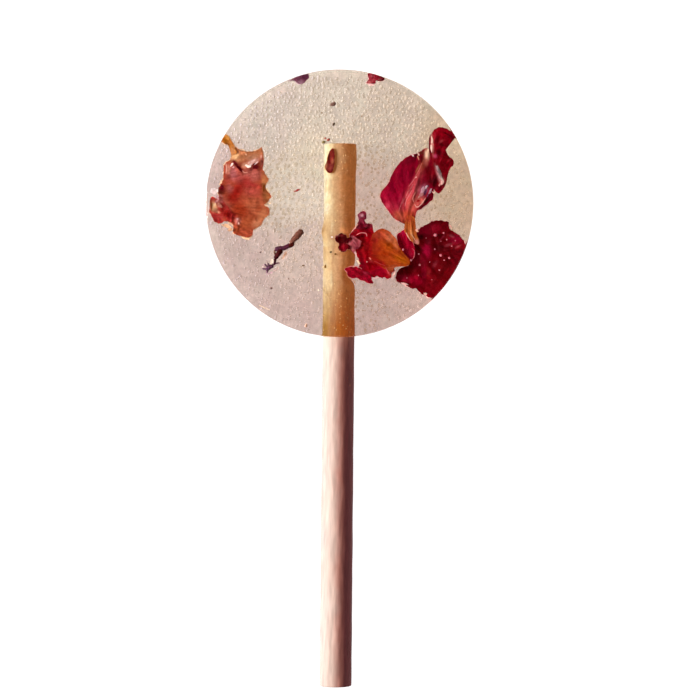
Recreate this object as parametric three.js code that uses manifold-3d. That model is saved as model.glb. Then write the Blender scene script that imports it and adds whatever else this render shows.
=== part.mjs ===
// A flower lollipop: a clear disc of boiled sugar cast round a wooden stick, with dried rose petals set in it.
//
// Millimetres, +Z up. The lollipop lies on the disc's underside. The origin is the middle of that underside,
// and the stick runs out along -Y. Seen from above, -X is the lollipop's left side.

import * as THREE from 'three';
import { mergeVertices } from 'three/addons/utils/BufferGeometryUtils.js';
import Module from 'manifold-3d';

// ---------------------------------------------------------------- driving dimensions

const DISC_RADIUS = 25;
const DISC_THICKNESS = 9;
const DISC_EDGE_ROUNDING = 0.7;
const DISC_SIDES = 80;
const EDGE_STEPS = 3;

const STICK_RADIUS = 3;
const STICK_LENGTH = 101.6;
const STICK_DEPTH_IN_DISC = 36;
const STICK_AXIS_Z = 4.3;
const STICK_TOP_X = 0.1;
const STICK_LEAN = THREE.MathUtils.degToRad(-0.5);
const STICK_END_CHAMFER = 0.3;
const STICK_SIDES = 32;

// Clear space left all round a piece that the sugar encloses.
const GAP = 0.3;

// Points of a geometry that lie closer than this are one corner of its solid.
const SAME_POINT = 1e-4;

// Rings of facets from the middle of a petal's upper face to the middle of its lower face.
const PETAL_RINGS = 6;
const SCRAP_RINGS = 4;

// ---------------------------------------------------------------- finishes

const FINISHES = {
  candy: { color: 0xd9c4ae, roughness: 0.12, transparent: true, opacity: 0.4 },
  wood: { color: 0xdcb894, roughness: 0.7 },
  salmonPetal: { color: 0xb0482c, roughness: 0.45 },
  magentaPetal: { color: 0x93042c, roughness: 0.4 },
  crimsonPetal: { color: 0x6f0616, roughness: 0.4 },
  amberPetal: { color: 0x9c3518, roughness: 0.4 },
  darkRedPetal: { color: 0x6a1714, roughness: 0.45 },
  purplePetal: { color: 0x5a2c48, roughness: 0.5 },
};

function finish(name) {
  return new THREE.MeshStandardMaterial({ ...FINISHES[name], metalness: 0 });
}

// ---------------------------------------------------------------- joining and cutting

const wasm = await Module();
wasm.setup();

// A closed three.js geometry as a solid. Facets that have shrunk to nothing at a lathe's axis are left out.
function solid(geometry) {
  const bare = geometry.clone();
  bare.deleteAttribute('normal');
  bare.deleteAttribute('uv');
  const merged = mergeVertices(bare, SAME_POINT);
  const corners = merged.index.array;
  const kept = [];
  for (let i = 0; i < corners.length; i += 3) {
    const [a, b, c] = [corners[i], corners[i + 1], corners[i + 2]];
    if (a !== b && b !== c && c !== a) kept.push(a, b, c);
  }
  return new wasm.Manifold(new wasm.Mesh({
    numProp: 3,
    vertProperties: new Float32Array(merged.attributes.position.array),
    triVerts: new Uint32Array(kept),
  }));
}

function union(solids) {
  return solids.reduce((whole, piece) => whole.add(piece));
}

// The solid as a named mesh of flat facets.
function mesh(name, shape, finishName) {
  const { vertProperties, triVerts } = shape.getMesh();
  const geometry = new THREE.BufferGeometry();
  geometry.setAttribute('position', new THREE.BufferAttribute(vertProperties, 3));
  geometry.setIndex(new THREE.BufferAttribute(triVerts, 1));
  const facets = geometry.toNonIndexed();
  facets.computeVertexNormals();
  const piece = new THREE.Mesh(facets, finish(finishName));
  piece.name = name;
  return piece;
}

// ---------------------------------------------------------------- the disc and the stick

// Points of a quarter circle with the given middle, from one heading to the next.
function quarterArc(middleX, middleY, radius, fromAngle) {
  return Array.from({ length: EDGE_STEPS + 1 }, (_, step) => {
    const angle = fromAngle + (step / EDGE_STEPS) * (Math.PI / 2);
    return new THREE.Vector2(middleX + radius * Math.cos(angle), middleY + radius * Math.sin(angle));
  });
}

// The whole disc as it comes out of its mould: flat faces, an upright rim and a small rounding at both edges.
function discSolid() {
  const inner = DISC_RADIUS - DISC_EDGE_ROUNDING;
  const profile = [
    new THREE.Vector2(0, 0),
    ...quarterArc(inner, DISC_EDGE_ROUNDING, DISC_EDGE_ROUNDING, -Math.PI / 2),
    ...quarterArc(inner, DISC_THICKNESS - DISC_EDGE_ROUNDING, DISC_EDGE_ROUNDING, 0),
    new THREE.Vector2(0, DISC_THICKNESS),
  ];
  return solid(new THREE.LatheGeometry(profile, DISC_SIDES).rotateX(Math.PI / 2));
}

// The stick, turned about +Y with its upper end at y = 0, grown all over by the given allowance.
function stickGeometry(allowance) {
  const radius = STICK_RADIUS + allowance;
  const chamfer = STICK_END_CHAMFER;
  const profile = [
    new THREE.Vector2(0, -STICK_LENGTH - allowance),
    new THREE.Vector2(radius - chamfer, -STICK_LENGTH - allowance),
    new THREE.Vector2(radius, -STICK_LENGTH - allowance + chamfer),
    new THREE.Vector2(radius, allowance - chamfer),
    new THREE.Vector2(radius - chamfer, allowance),
    new THREE.Vector2(0, allowance),
  ];
  return new THREE.LatheGeometry(profile, STICK_SIDES);
}

// Where the stick lies: its upper end stands STICK_DEPTH_IN_DISC above the foot of the rim, and it leans a little
// to the left on its way down.
function stickPlace() {
  const upperEnd = new THREE.Vector3(STICK_TOP_X, STICK_DEPTH_IN_DISC - DISC_RADIUS, STICK_AXIS_Z);
  const turn = new THREE.Quaternion().setFromAxisAngle(new THREE.Vector3(0, 0, 1), STICK_LEAN);
  return new THREE.Matrix4().compose(upperEnd, turn, new THREE.Vector3(1, 1, 1));
}

// ---------------------------------------------------------------- petals

// One blade of a petal, as a thin slab with a rounded edge on a free outline. It starts as a ball, whose points go
// out towards the outline the further they are from its axis. `middle` sees the whole outline, which runs
// anticlockwise seen from above. The blade lies at `height`, falls away by `slope` [x, y] for each millimetre, bends down by `arch` on
// both sides of the line through its middle at `heading`, and ripples across that heading. `allowance` grows it
// square to its edge and to its faces.
function blade(shape, allowance) {
  const { middle, outline, height, thickness = 0.6, slope = [0, 0] } = shape;
  const { heading = Math.PI / 2, arch = 0, ripple = 0, rippleLength = 5 } = shape;
  const { sides = 28, rings = PETAL_RINGS } = shape;
  const loop = new THREE.CatmullRomCurve3(outline.map(([x, y]) => new THREE.Vector3(x, y, 0)), true, 'centripetal');
  const ball = new THREE.SphereGeometry(1, sides, rings);
  const { position, uv } = ball.attributes;
  for (let i = 0; i < position.count; i += 1) {
    const polar = (1 - uv.getY(i)) * Math.PI;
    const share = Math.sqrt(Math.sin(polar));
    const turn = uv.getX(i) % 1;
    const edge = loop.getPoint(turn);
    const along = loop.getTangent(turn);
    const reachX = (edge.x + along.y * allowance - middle[0]) * share;
    const reachY = (edge.y - along.x * allowance - middle[1]) * share;
    const across = reachX * Math.sin(heading) - reachY * Math.cos(heading);
    const sheet = height + slope[0] * reachX + slope[1] * reachY - arch * across ** 2
      + ripple * Math.sin((2 * Math.PI * across) / rippleLength);
    const steepness = Math.hypot(1, 2 * arch * across);
    const halfThickness = (thickness / 2 + allowance) * steepness * Math.cos(polar);
    position.setXYZ(i, middle[0] + reachX, middle[1] + reachY, sheet + halfThickness);
  }
  return solid(ball);
}

const LEFT_PETAL = [
  { // body, ragged on its right side
    middle: [-17.4, 2], height: 5.6, ripple: 0.35, rippleLength: 4.4, sides: 36,
    outline: [[-14.4, 10.4], [-17.3, 9.5], [-20.2, 9.9], [-20.6, 7.6], [-21.6, 4.4], [-20.9, 1], [-20.4, -2.2],
      [-19.3, -5.7], [-17.6, -6.1], [-15.2, -4.4], [-13.4, -1.3], [-12.9, 1.4], [-13.7, 4.6], [-14.3, 7.6]],
  },
  { // claw, which runs out to the rim
    middle: [-20.3, 10], height: 5.6, thickness: 0.8, sides: 14,
    outline: [[-18.6, 9.8], [-20.2, 11.2], [-21.6, 13.6], [-23.2, 12.8], [-21.5, 10.8], [-20.9, 9.2], [-19, 8.6]],
  },
  { // lobe folded over at the lower left
    middle: [-21.4, -0.4], height: 6.1, slope: [0.12, 0], sides: 18,
    outline: [[-20.6, 3.2], [-22.6, 2.5], [-23.9, 1.1], [-24.1, -0.6], [-23.6, -2.6], [-22.8, -3.7], [-21.2, -3.4],
      [-19.4, -2.6], [-18.8, 0.4]],
  },
];

const UPPER_RIGHT_PETAL = [
  { // blade, cupped along a ridge from its claw to its upper corner
    middle: [13, 3.2], height: 6.6, arch: 0.035, heading: 1.25, ripple: 0.18, rippleLength: 4, sides: 34,
    outline: [[12, -3.9], [14.2, -2.2], [16.6, 0.4], [17.9, 2.6], [18.2, 5.5], [17.4, 8.4], [16.4, 10],
      [14.3, 9.3], [11.7, 7.7], [9.8, 5.4], [8.9, 3.3], [7.6, 1.4], [8.2, -0.5], [10, -2.7]],
  },
  { // claw, crossing over the lower right petal
    middle: [13.3, -4.4], height: 6.4, thickness: 0.8, sides: 12,
    outline: [[12.3, -5.6], [13.4, -7.2], [14.8, -7.1], [14.4, -5], [14.2, -2.4], [13.2, -1.6], [12.1, -2.6]],
  },
  { // edge rolled over into a strip that reaches the rim
    middle: [18.7, 8], height: 7.3, arch: 0.3, heading: 1.48, thickness: 0.8, sides: 28,
    outline: [[18.6, 2.1], [19.9, 3.4], [20.2, 5.5], [21, 7.4], [20.7, 9.1], [20.8, 10.8], [22.2, 12.3],
      [21.2, 13.6], [19.3, 14.1], [17.8, 13.6], [16.9, 12], [16.7, 9.8], [16.9, 6.4], [17.5, 3.4]],
  },
];

const LOWER_RIGHT_PETAL = [
  { // crumpled body, cut off square by the rim
    middle: [17.2, -10.4], height: 4.3, slope: [-0.02, 0.02], ripple: 0.3, rippleLength: 5, heading: 0.9, sides: 38,
    outline: [[10.4, -14], [11.6, -14.9], [12.8, -15.7], [15, -16.6], [16.5, -17.3], [18.3, -18.2], [21.8, -14.8],
      [24.4, -10], [23.4, -7.9], [23.1, -6.5], [21.6, -5.4], [20.3, -4.6], [19.9, -3.4], [17.6, -3.2],
      [15.4, -4.4], [13.6, -6.6], [12.6, -9], [12.3, -11.6], [11, -12.6]],
  },
  { // lobe turned up at the left
    middle: [12.5, -7.6], height: 4.4, slope: [-0.05, 0.05], sides: 16,
    outline: [[10.8, -6.1], [11.3, -8.6], [12.2, -10.2], [13.7, -10.4], [14.3, -8.6], [13.9, -6.6], [12.8, -5.1],
      [11.6, -4.9]],
  },
];

const CENTRE_PETAL = [
  { // dark knot that lies over the stick
    middle: [1.4, -7.2], height: 7.95, thickness: 0.5, slope: [-0.02, 0], sides: 18,
    outline: [[-0.9, -6.6], [-0.3, -7.5], [-0.1, -8.5], [1, -8.8], [2.4, -8.7], [4, -8.6], [4.2, -6.8], [2.9, -5.8],
      [1.9, -6.1], [0.9, -5.6], [-0.5, -5.8]],
  },
  { // red body
    middle: [5.8, -9], height: 7.1, slope: [-0.2, 0], arch: 0.02, ripple: 0.15, rippleLength: 3.6, sides: 26,
    outline: [[2.5, -6.4], [3.2, -9], [3.6, -11], [5, -13.1], [5.9, -14], [7.2, -13.7], [8.3, -13.4], [9.3, -13.9],
      [9.9, -12.2], [9, -9], [7.2, -6], [6, -4.4], [4.6, -3.8], [3.2, -4.8]],
  },
  { // orange blade that ends in an amber tip
    middle: [8.4, -8.4], height: 6.6, slope: [-0.2, 0], ripple: 0.12, rippleLength: 3, sides: 22,
    outline: [[5.6, -8.3], [7, -11], [9.7, -12], [11.6, -11.9], [13.1, -11.3], [12, -10], [11, -8.3], [10.6, -6.6],
      [9.3, -5.1], [7.6, -4.7], [6.2, -5.4]],
  },
  { // torn flap below the notch
    middle: [4.2, -13.3], height: 7.55, thickness: 0.5, slope: [-0.1, 0], sides: 14,
    outline: [[1.5, -12.5], [2.4, -13.8], [4.6, -14.6], [6.3, -14.7], [6.6, -13.2], [4.8, -12.2], [2.3, -11.9]],
  },
  { // narrow arm pointing up
    middle: [4.1, -4.3], height: 7.4, thickness: 0.5, slope: [-0.15, 0], sides: 16,
    outline: [[3.4, -2.7], [2.7, -4.5], [2.4, -6], [4, -6.4], [5.9, -5.4], [6, -4.2], [4.9, -3], [4.9, -1.8],
      [4.2, -1.5]],
  },
];

const STICK_SCRAP = [
  { // narrow piece on top of the stick, near its upper end
    middle: [-1.6, 7.8], height: 7.6, thickness: 0.45, slope: [0.3, 0], sides: 16, rings: SCRAP_RINGS,
    outline: [[-1.5, 5.6], [-0.7, 7], [-0.6, 9.2], [-0.9, 10], [-1.7, 9.1], [-2.7, 6.4]],
  },
];

const PURPLE_RIM_SCRAP = [
  {
    middle: [-7.4, 23.6], height: 5.5, thickness: 0.5, sides: 16, rings: SCRAP_RINGS,
    outline: [[-9.2, 23], [-8.2, 22.7], [-7.1, 22.2], [-6, 23], [-5.8, 24.8], [-7.4, 25.6], [-9.4, 24.4]],
  },
];

const CRIMSON_RIM_SCRAP = [
  {
    middle: [6.8, 23.6], height: 5.8, thickness: 0.5, sides: 16, rings: SCRAP_RINGS,
    outline: [[5.2, 22.3], [7.4, 22.6], [8.6, 23.2], [9, 24.6], [7, 25.6], [5.4, 25.2], [5.4, 23.6]],
  },
];

function petalSolid(blades, allowance) {
  return union(blades.map((shape) => blade(shape, allowance)));
}

// ---------------------------------------------------------------- the lollipop

const PETALS = [
  { name: 'petal_left', blades: LEFT_PETAL, finish: 'salmonPetal' },
  { name: 'petal_upper_right', blades: UPPER_RIGHT_PETAL, finish: 'magentaPetal' },
  { name: 'petal_lower_right', blades: LOWER_RIGHT_PETAL, finish: 'crimsonPetal' },
  { name: 'petal_centre', blades: CENTRE_PETAL, finish: 'amberPetal' },
  { name: 'scrap_on_stick', blades: STICK_SCRAP, finish: 'darkRedPetal' },
  { name: 'scrap_rim_purple', blades: PURPLE_RIM_SCRAP, finish: 'purplePetal' },
  { name: 'scrap_rim_crimson', blades: CRIMSON_RIM_SCRAP, finish: 'magentaPetal' },
];

const lollipop = new THREE.Group();

const disc = discSolid();
const socket = solid(stickGeometry(GAP).applyMatrix4(stickPlace()));
const pockets = union(PETALS.map(({ blades }) => petalSolid(blades, GAP)));
lollipop.add(mesh('candy', disc.subtract(socket).subtract(pockets), 'candy'));

const stick = mesh('stick', solid(stickGeometry(0)), 'wood');
stick.applyMatrix4(stickPlace());
lollipop.add(stick);

const petals = new THREE.Group();
for (const { name, blades, finish: finishName } of PETALS) {
  petals.add(mesh(name, petalSolid(blades, 0).intersect(disc), finishName));
}
lollipop.add(petals);

export default lollipop;
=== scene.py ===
# %% [markdown]
# # A flower lollipop
#
# A flat disc of clear boiled sugar on a wooden stick, with dried rose petals set in it. The solids come
# in as a fixed frame, and this lesson dresses them: sugar that light passes through, fine bubbles,
# crumpled petals, wood. Everything is in metres, in the frame's own axes: the disc lies flat, +Z is up,
# and the stick runs out along -Y. Sizes are written in millimetres and brought to metres by MM.

# %% Load the frame
import math
import random

import bmesh
import bpy
from mathutils import Matrix, Vector, noise


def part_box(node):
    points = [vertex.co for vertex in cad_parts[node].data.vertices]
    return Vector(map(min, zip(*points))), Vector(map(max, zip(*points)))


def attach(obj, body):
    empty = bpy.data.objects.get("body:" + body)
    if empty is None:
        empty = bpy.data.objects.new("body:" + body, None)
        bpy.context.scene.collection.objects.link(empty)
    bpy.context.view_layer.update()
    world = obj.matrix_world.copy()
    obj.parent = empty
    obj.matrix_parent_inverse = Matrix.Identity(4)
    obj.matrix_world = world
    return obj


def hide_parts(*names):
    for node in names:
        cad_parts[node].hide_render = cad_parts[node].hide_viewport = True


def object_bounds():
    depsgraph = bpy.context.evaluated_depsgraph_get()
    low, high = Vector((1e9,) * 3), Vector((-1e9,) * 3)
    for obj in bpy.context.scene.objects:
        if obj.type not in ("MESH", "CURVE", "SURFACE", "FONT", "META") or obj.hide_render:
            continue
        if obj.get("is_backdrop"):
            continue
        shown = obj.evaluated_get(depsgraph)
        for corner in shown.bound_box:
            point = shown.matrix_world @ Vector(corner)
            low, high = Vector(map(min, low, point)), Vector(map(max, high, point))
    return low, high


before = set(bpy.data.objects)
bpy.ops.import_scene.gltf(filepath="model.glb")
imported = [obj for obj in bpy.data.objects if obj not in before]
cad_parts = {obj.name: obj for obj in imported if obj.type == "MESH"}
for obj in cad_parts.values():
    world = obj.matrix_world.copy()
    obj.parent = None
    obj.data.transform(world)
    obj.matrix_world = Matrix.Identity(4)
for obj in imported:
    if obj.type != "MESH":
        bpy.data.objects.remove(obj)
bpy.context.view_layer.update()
MM = 0.001
CLEARANCE = 0.25  # the solid stick stops this short of where the wood ends in its hollow in the sugar

disc_low, disc_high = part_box("candy")
DISC_RADIUS = (disc_high[0] - disc_low[0]) / 2 / MM
DISC_THICKNESS = (disc_high[2] - disc_low[2]) / MM
stick_low, stick_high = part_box("stick")
STICK_RADIUS = (stick_high[2] - stick_low[2]) / 2 / MM
STICK_AXIS_Z = (stick_high[2] + stick_low[2]) / 2 / MM
STICK_TOP = stick_high[1] / MM + CLEARANCE
STICK_BOTTOM = stick_low[1] / MM
print(f"disc {DISC_RADIUS:.1f} mm radius, {DISC_THICKNESS:.1f} mm thick; stick {STICK_RADIUS:.1f} mm radius")

# %% [markdown]
# Every piece of the lollipop is finished in the same way, so the first step is one helper for it. A piece
# could be modelled in metres from the start, but sizes of a sweet are easier to read in millimetres, so
# each mesh is made in millimetres and scaled once, at the end. Its place is in its mesh and its object
# stays at the origin, because the patterns of the finishes are laid on the object's own coordinates. It
# then rides on the frame's one body.

# %% Finishing a piece
SHARP_EDGE = math.radians(55)


def place_piece(name, mesh, material, replaced=()):
    """Gives a mesh its finish and rides it on the frame, in the place of the solids that it replaces."""
    mesh.materials.append(material)
    piece = bpy.data.objects.new(name, mesh)
    bpy.context.scene.collection.objects.link(piece)
    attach(piece, "root")
    if replaced:
        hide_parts(*replaced)


def finish_piece(name, bm, material, replaced=()):
    """Turns a bmesh in millimetres into a smooth-shaded piece of the lollipop."""
    bmesh.ops.scale(bm, verts=bm.verts[:], vec=(MM, MM, MM))
    mesh = bpy.data.meshes.new(name)
    bm.to_mesh(mesh)
    bm.free()
    mesh.shade_smooth()
    mesh.set_sharp_from_angle(angle=SHARP_EDGE)
    place_piece(name, mesh, material, replaced)
    print(name, len(mesh.polygons), "faces")


print(f"edges sharper than {math.degrees(SHARP_EDGE):.0f} degrees stay crisp, the others are shaded smooth")

# %% [markdown]
# A petal, a stick and a crumb each show dozens of colours that run into each other. They could be flat
# colours with masks, but masks need a window or an image. Here a colour is written as a painter reads it,
# from 0 to 255, blended in the light's own scale, and laid on the points of the mesh, so it stays in its
# place from every side.

# %% Colours


def colour(red, green, blue):
    """A colour as a painter reads it, 0 to 255, as the linear values that nodes take."""
    def linear(value):
        value /= 255
        return value / 12.92 if value <= 0.04045 else ((value + 0.055) / 1.055) ** 2.4
    return (linear(red), linear(green), linear(blue), 1.0)


def mixed(first, second, share):
    """The colour that lies a share of the way from the first to the second."""
    return tuple(a + (b - a) * share for a, b in zip(first, second))


print("a mid grey of 128 is", round(colour(128, 128, 128)[0], 3), "as light")

# %% [markdown]
# Nothing that has dried, been boiled or been turned on a lathe has one even colour, so each finish
# carries a fine pattern of its own. An image of the surface would be the usual way, but a noise texture
# has no seams and needs no unwrapping. The helpers turn such a noise into a strength around 1, which the
# colour that the points carry is multiplied by.

# %% Material helpers


def new_material(name):
    """An empty node tree with its output, ready to be wired."""
    material = bpy.data.materials.new(name)
    material.use_nodes = True
    tree = material.node_tree
    tree.nodes.clear()
    output = tree.nodes.new("ShaderNodeOutputMaterial")
    return material, tree, output


def drawn_out(tree, place, scale):
    """A place scaled by its own number in X, Y and Z, so that a noise over it is drawn out."""
    stretch = tree.nodes.new("ShaderNodeMapping")
    stretch.inputs["Scale"].default_value = scale
    tree.links.new(place, stretch.inputs["Vector"])
    return stretch.outputs["Vector"]


def noise_pattern(tree, place, scale, detail):
    """A noise pattern, which keeps mostly between 0.25 and 0.75."""
    pattern = tree.nodes.new("ShaderNodeTexNoise")
    pattern.inputs["Scale"].default_value = scale
    pattern.inputs["Detail"].default_value = detail
    tree.links.new(place, pattern.inputs["Vector"])
    return pattern.outputs["Fac"]


def as_strength(tree, pattern, share):
    """A noise pattern as a strength that swings by share to either side of 1."""
    strength = tree.nodes.new("ShaderNodeMapRange")
    strength.inputs["From Min"].default_value = 0.25
    strength.inputs["From Max"].default_value = 0.75
    strength.inputs["To Min"].default_value = 1 - share
    strength.inputs["To Max"].default_value = 1 + share
    tree.links.new(pattern, strength.inputs["Value"])
    return strength.outputs["Result"]


def noise_strength(tree, place, scale, detail, share):
    """A noise as a strength, in one call."""
    return as_strength(tree, noise_pattern(tree, place, scale, detail), share)


def product(tree, first, second):
    """Two strengths multiplied."""
    both = tree.nodes.new("ShaderNodeMath")
    both.operation = "MULTIPLY"
    tree.links.new(first, both.inputs[0])
    tree.links.new(second, both.inputs[1])
    return both.outputs["Value"]


def point_colour(tree, strength):
    """The colour that the points carry, multiplied by a strength."""
    tint = tree.nodes.new("ShaderNodeAttribute")
    tint.attribute_name = "tint"
    scaled = tree.nodes.new("ShaderNodeVectorMath")
    scaled.operation = "SCALE"
    tree.links.new(tint.outputs["Color"], scaled.inputs[0])
    tree.links.new(strength, scaled.inputs["Scale"])
    return scaled.outputs["Vector"]


print("a noise with a share of 0.1 swings a colour from 0.9 to 1.1 of itself")

# %% [markdown]
# Petals, crumbs, trapped air and bubbles all take their colour from their points, so one finish with a
# few settings serves them all. A petal is thin enough for light to come through from behind, which a
# translucent shader mixed in gives, and a bubble seems to shine by itself, because it bends light towards
# us from below. Tracing thousands of hollow balls would give that too, but slowly and with noise, so a
# bubble shows a share of its own colour instead.

# %% A finish that is painted on the points


def painted_material(name, roughness=0.4, specular=0.05, glow=0.0, lift=0.0, shade=(1, 1, 1),
                     mottle=(1100.0, 0.1), veins=0.0, relief=0.0):
    """A finish that takes its colour from the points' own tint, with a fine mottle, veins and a fine relief.

    glow is the share of light that comes through from behind, lift the share of its own colour it always
    shows, and shade tints what the lamps show of it. mottle is a noise's scale and share. Veins run out
    from the place that each point's vein value names.
    """
    material, tree, output = new_material(name)
    link = tree.links.new
    place = tree.nodes.new("ShaderNodeTexCoord").outputs["Object"]
    pattern = noise_strength(tree, place, mottle[0], 3.0, mottle[1])
    if veins:
        way = tree.nodes.new("ShaderNodeAttribute")
        way.attribute_name = "vein"
        pattern = product(tree, pattern, noise_strength(tree, way.outputs["Vector"], 1.0, 3.0, veins))
    own = point_colour(tree, pattern)
    lit = tree.nodes.new("ShaderNodeVectorMath")
    lit.operation = "MULTIPLY"
    lit.inputs[1].default_value = shade
    bump = tree.nodes.new("ShaderNodeBump")
    bump.inputs["Strength"].default_value = 0.7
    bump.inputs["Distance"].default_value = relief * MM
    skin = tree.nodes.new("ShaderNodeBsdfPrincipled")
    skin.inputs["Roughness"].default_value = roughness
    skin.inputs["Specular IOR Level"].default_value = specular
    skin.inputs["Emission Strength"].default_value = lift
    behind = tree.nodes.new("ShaderNodeBsdfTranslucent")
    mix = tree.nodes.new("ShaderNodeMixShader")
    mix.inputs["Fac"].default_value = glow
    link(own, lit.inputs[0])
    link(lit.outputs["Vector"], skin.inputs["Base Color"])
    link(own, skin.inputs["Emission Color"])
    link(own, behind.inputs["Color"])
    link(pattern, bump.inputs["Height"])
    link(bump.outputs["Normal"], skin.inputs["Normal"])
    link(skin.outputs["BSDF"], mix.inputs[1])
    link(behind.outputs["BSDF"], mix.inputs[2])
    link(mix.outputs["Shader"], output.inputs["Surface"])
    return material


print("one finish serves petals, crumbs, bubbles and trapped air, each with its own settings")

# %% [markdown]
# The body of the sweet is boiled sugar, as clear as glass and faintly golden where it is thick. A tinted
# surface would look the same at every depth. So the surface stays clear, with the refraction of sugar,
# and an absorbing volume inside takes a little blue from the light on its way, the more the further it
# goes. Light that a lamp sends has to reach the petals, and waiting for paths bent by the surface gives
# grainy shadows, so shadow rays pass straight through.

# %% Sugar finish
SUGAR_REFRACTION = 1.49
SUGAR_ABSORPTION = 100.0


def sugar_material():
    """Clear boiled sugar: glass on the surface, and a faint gold in its depth."""
    material, tree, output = new_material("boiled_sugar")
    glass = tree.nodes.new("ShaderNodeBsdfPrincipled")
    glass.inputs["Base Color"].default_value = (1.0, 1.0, 1.0, 1)
    glass.inputs["Roughness"].default_value = 0.02
    glass.inputs["IOR"].default_value = SUGAR_REFRACTION
    glass.inputs["Transmission Weight"].default_value = 1.0
    clear = tree.nodes.new("ShaderNodeBsdfTransparent")
    clear.inputs["Color"].default_value = (0.97, 0.97, 0.97, 1)
    rays = tree.nodes.new("ShaderNodeLightPath")
    mix = tree.nodes.new("ShaderNodeMixShader")
    depth = tree.nodes.new("ShaderNodeVolumeAbsorption")
    depth.inputs["Color"].default_value = (0.95, 0.91, 0.72, 1)
    depth.inputs["Density"].default_value = SUGAR_ABSORPTION
    tree.links.new(rays.outputs["Is Shadow Ray"], mix.inputs["Fac"])
    tree.links.new(glass.outputs["BSDF"], mix.inputs[1])
    tree.links.new(clear.outputs["BSDF"], mix.inputs[2])
    tree.links.new(mix.outputs["Shader"], output.inputs["Surface"])
    tree.links.new(depth.outputs["Volume"], output.inputs["Volume"])
    return material


print(f"sugar refracts by {SUGAR_REFRACTION} and its volume has a density of {SUGAR_ABSORPTION:.0f}")

# %% [markdown]
# The sweet was poured into a ring mould: it has flat faces, an upright rim, and a small rounding at both
# edges. A bevelled cylinder would do, but its caps are single faces, which can't carry the slight swells
# that thick syrup keeps on top as it sets. So half of the section is drawn as a line with many points,
# from the middle of the underside round to the middle of the top, and one full spin makes the disc in
# rings.

# %% Sugar disc
TOP_ROUNDING = 0.3
BOTTOM_ROUNDING = 0.05
TOP_SWELL = 0.03
DISC_RINGS = 44
DISC_STEPS = 160
SWELL_SIZE = 3.2


def arc(middle, radius, start, end, steps):
    """Points of an arc in the XZ plane, both ends included."""
    for step in range(steps + 1):
        angle = start + (end - start) * step / steps
        yield Vector((middle[0] + radius * math.cos(angle), 0, middle[1] + radius * math.sin(angle)))


def spin_line(bm, points, steps, weld):
    """Spins a line of points once round Z, and welds the points that meet within a distance."""
    line = [bm.verts.new(point) for point in points]
    for first, second in zip(line, line[1:]):
        bm.edges.new((first, second))
    bmesh.ops.spin(bm, geom=bm.verts[:] + bm.edges[:], cent=(0, 0, 0), axis=(0, 0, 1), angle=math.tau,
                   steps=steps, use_merge=True)
    bmesh.ops.remove_doubles(bm, verts=bm.verts[:], dist=weld)


def sugar_disc():
    """The sugar itself, spun from half of its section."""
    low_reach = DISC_RADIUS - BOTTOM_ROUNDING
    top_reach = DISC_RADIUS - TOP_ROUNDING
    profile = [Vector((low_reach * ring / DISC_RINGS, 0, 0)) for ring in range(DISC_RINGS)]
    profile += arc((low_reach, BOTTOM_ROUNDING), BOTTOM_ROUNDING, -math.pi / 2, 0, 5)
    profile += arc((top_reach, DISC_THICKNESS - TOP_ROUNDING), TOP_ROUNDING, 0, math.pi / 2, 5)
    profile += [Vector((top_reach * ring / DISC_RINGS, 0, DISC_THICKNESS))
                for ring in range(DISC_RINGS - 1, -1, -1)]
    bm = bmesh.new()
    spin_line(bm, profile, DISC_STEPS, 0.01)
    bmesh.ops.recalc_face_normals(bm, faces=bm.faces[:])
    for vert in bm.verts:
        if vert.co.z > DISC_THICKNESS - 0.01:
            fade = max(0.0, 1 - (vert.co.xy.length / DISC_RADIUS) ** 6)
            swell = noise.noise(Vector((vert.co.x / SWELL_SIZE, vert.co.y / SWELL_SIZE, 0.5)))
            vert.co.z += TOP_SWELL * fade * (swell - 0.5)
    finish_piece("sugar_disc", bm, sugar_material(), ["candy"])


sugar_disc()

# %% [markdown]
# The sugar isn't the same all over: it is creamy and crowded with bubbles at the top, tan on the right,
# darker just right of the stick, where a painted shadow of the stick lies, and pinkish and clearer towards
# the place where the stick comes out. A gradient has only one direction, so this uses a short list of
# places instead, each with its colour and how crowded its bubbles are, and every point in between is a
# blend of them, in which the nearest ones count the most.

# %% Tones of the sugar
# each place: x, y, colour of the cloudy sugar, how crowded the bubbles are (5.5, 4 and 10, -3 hold painted
# shadow of the stick)
SUGAR_PLACES = [
    (0, 19, (217, 198, 181), 1.0), (-13, 15, (213, 194, 180), 0.85), (-23, 5, (202, 176, 166), 0.4),
    (-8, 2, (226, 206, 188), 2.1), (-16, -11, (202, 176, 166), 0.35), (-7, -21, (203, 176, 166), 0.3),
    (8, 14, (212, 191, 173), 1.9), (11, 16, (211, 189, 171), 1.95), (23, 3, (201, 171, 145), 0.35),
    (20, 13, (205, 178, 152), 0.55), (5.5, 4, (209, 178, 162), 0.6), (8.5, -19, (204, 173, 162), 0.4),
    (-8, -8, (211, 185, 172), 0.6), (-4, 8, (222, 202, 180), 1.0), (10, -3, (203, 172, 156), 0.3),
]
PLACE_REACH = 3.0


def sugar_place(x, y):
    """The cloudy sugar's colour (linear) and crowding of bubbles at a place."""
    total = 0.0
    tone = Vector((0, 0, 0))
    crowd = 0.0
    for place_x, place_y, shade, bubbles in SUGAR_PLACES:
        share = 1 / (1 + ((x - place_x) ** 2 + (y - place_y) ** 2) / PLACE_REACH ** 2) ** 2
        tone += share * Vector(colour(*shade)[:3])
        crowd += share * bubbles
        total += share
    return tone / total, crowd / total


print(len(SUGAR_PLACES), "places; near the middle bubbles crowd by", round(sugar_place(-5, 0)[1], 2))

# %% [markdown]
# Low in the disc, where it cooled against the mould, the sugar is cloudy, and that is most of the colour
# we see. A scattering volume would be the true way, but it is slow and grainy. A thin sheet near the
# underside does the same for the eye: it holds back part of the light that comes up from the white table
# below. Its points carry how much of each colour gets through, so the tones of the last step are seen
# from above just as they are written.

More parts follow.
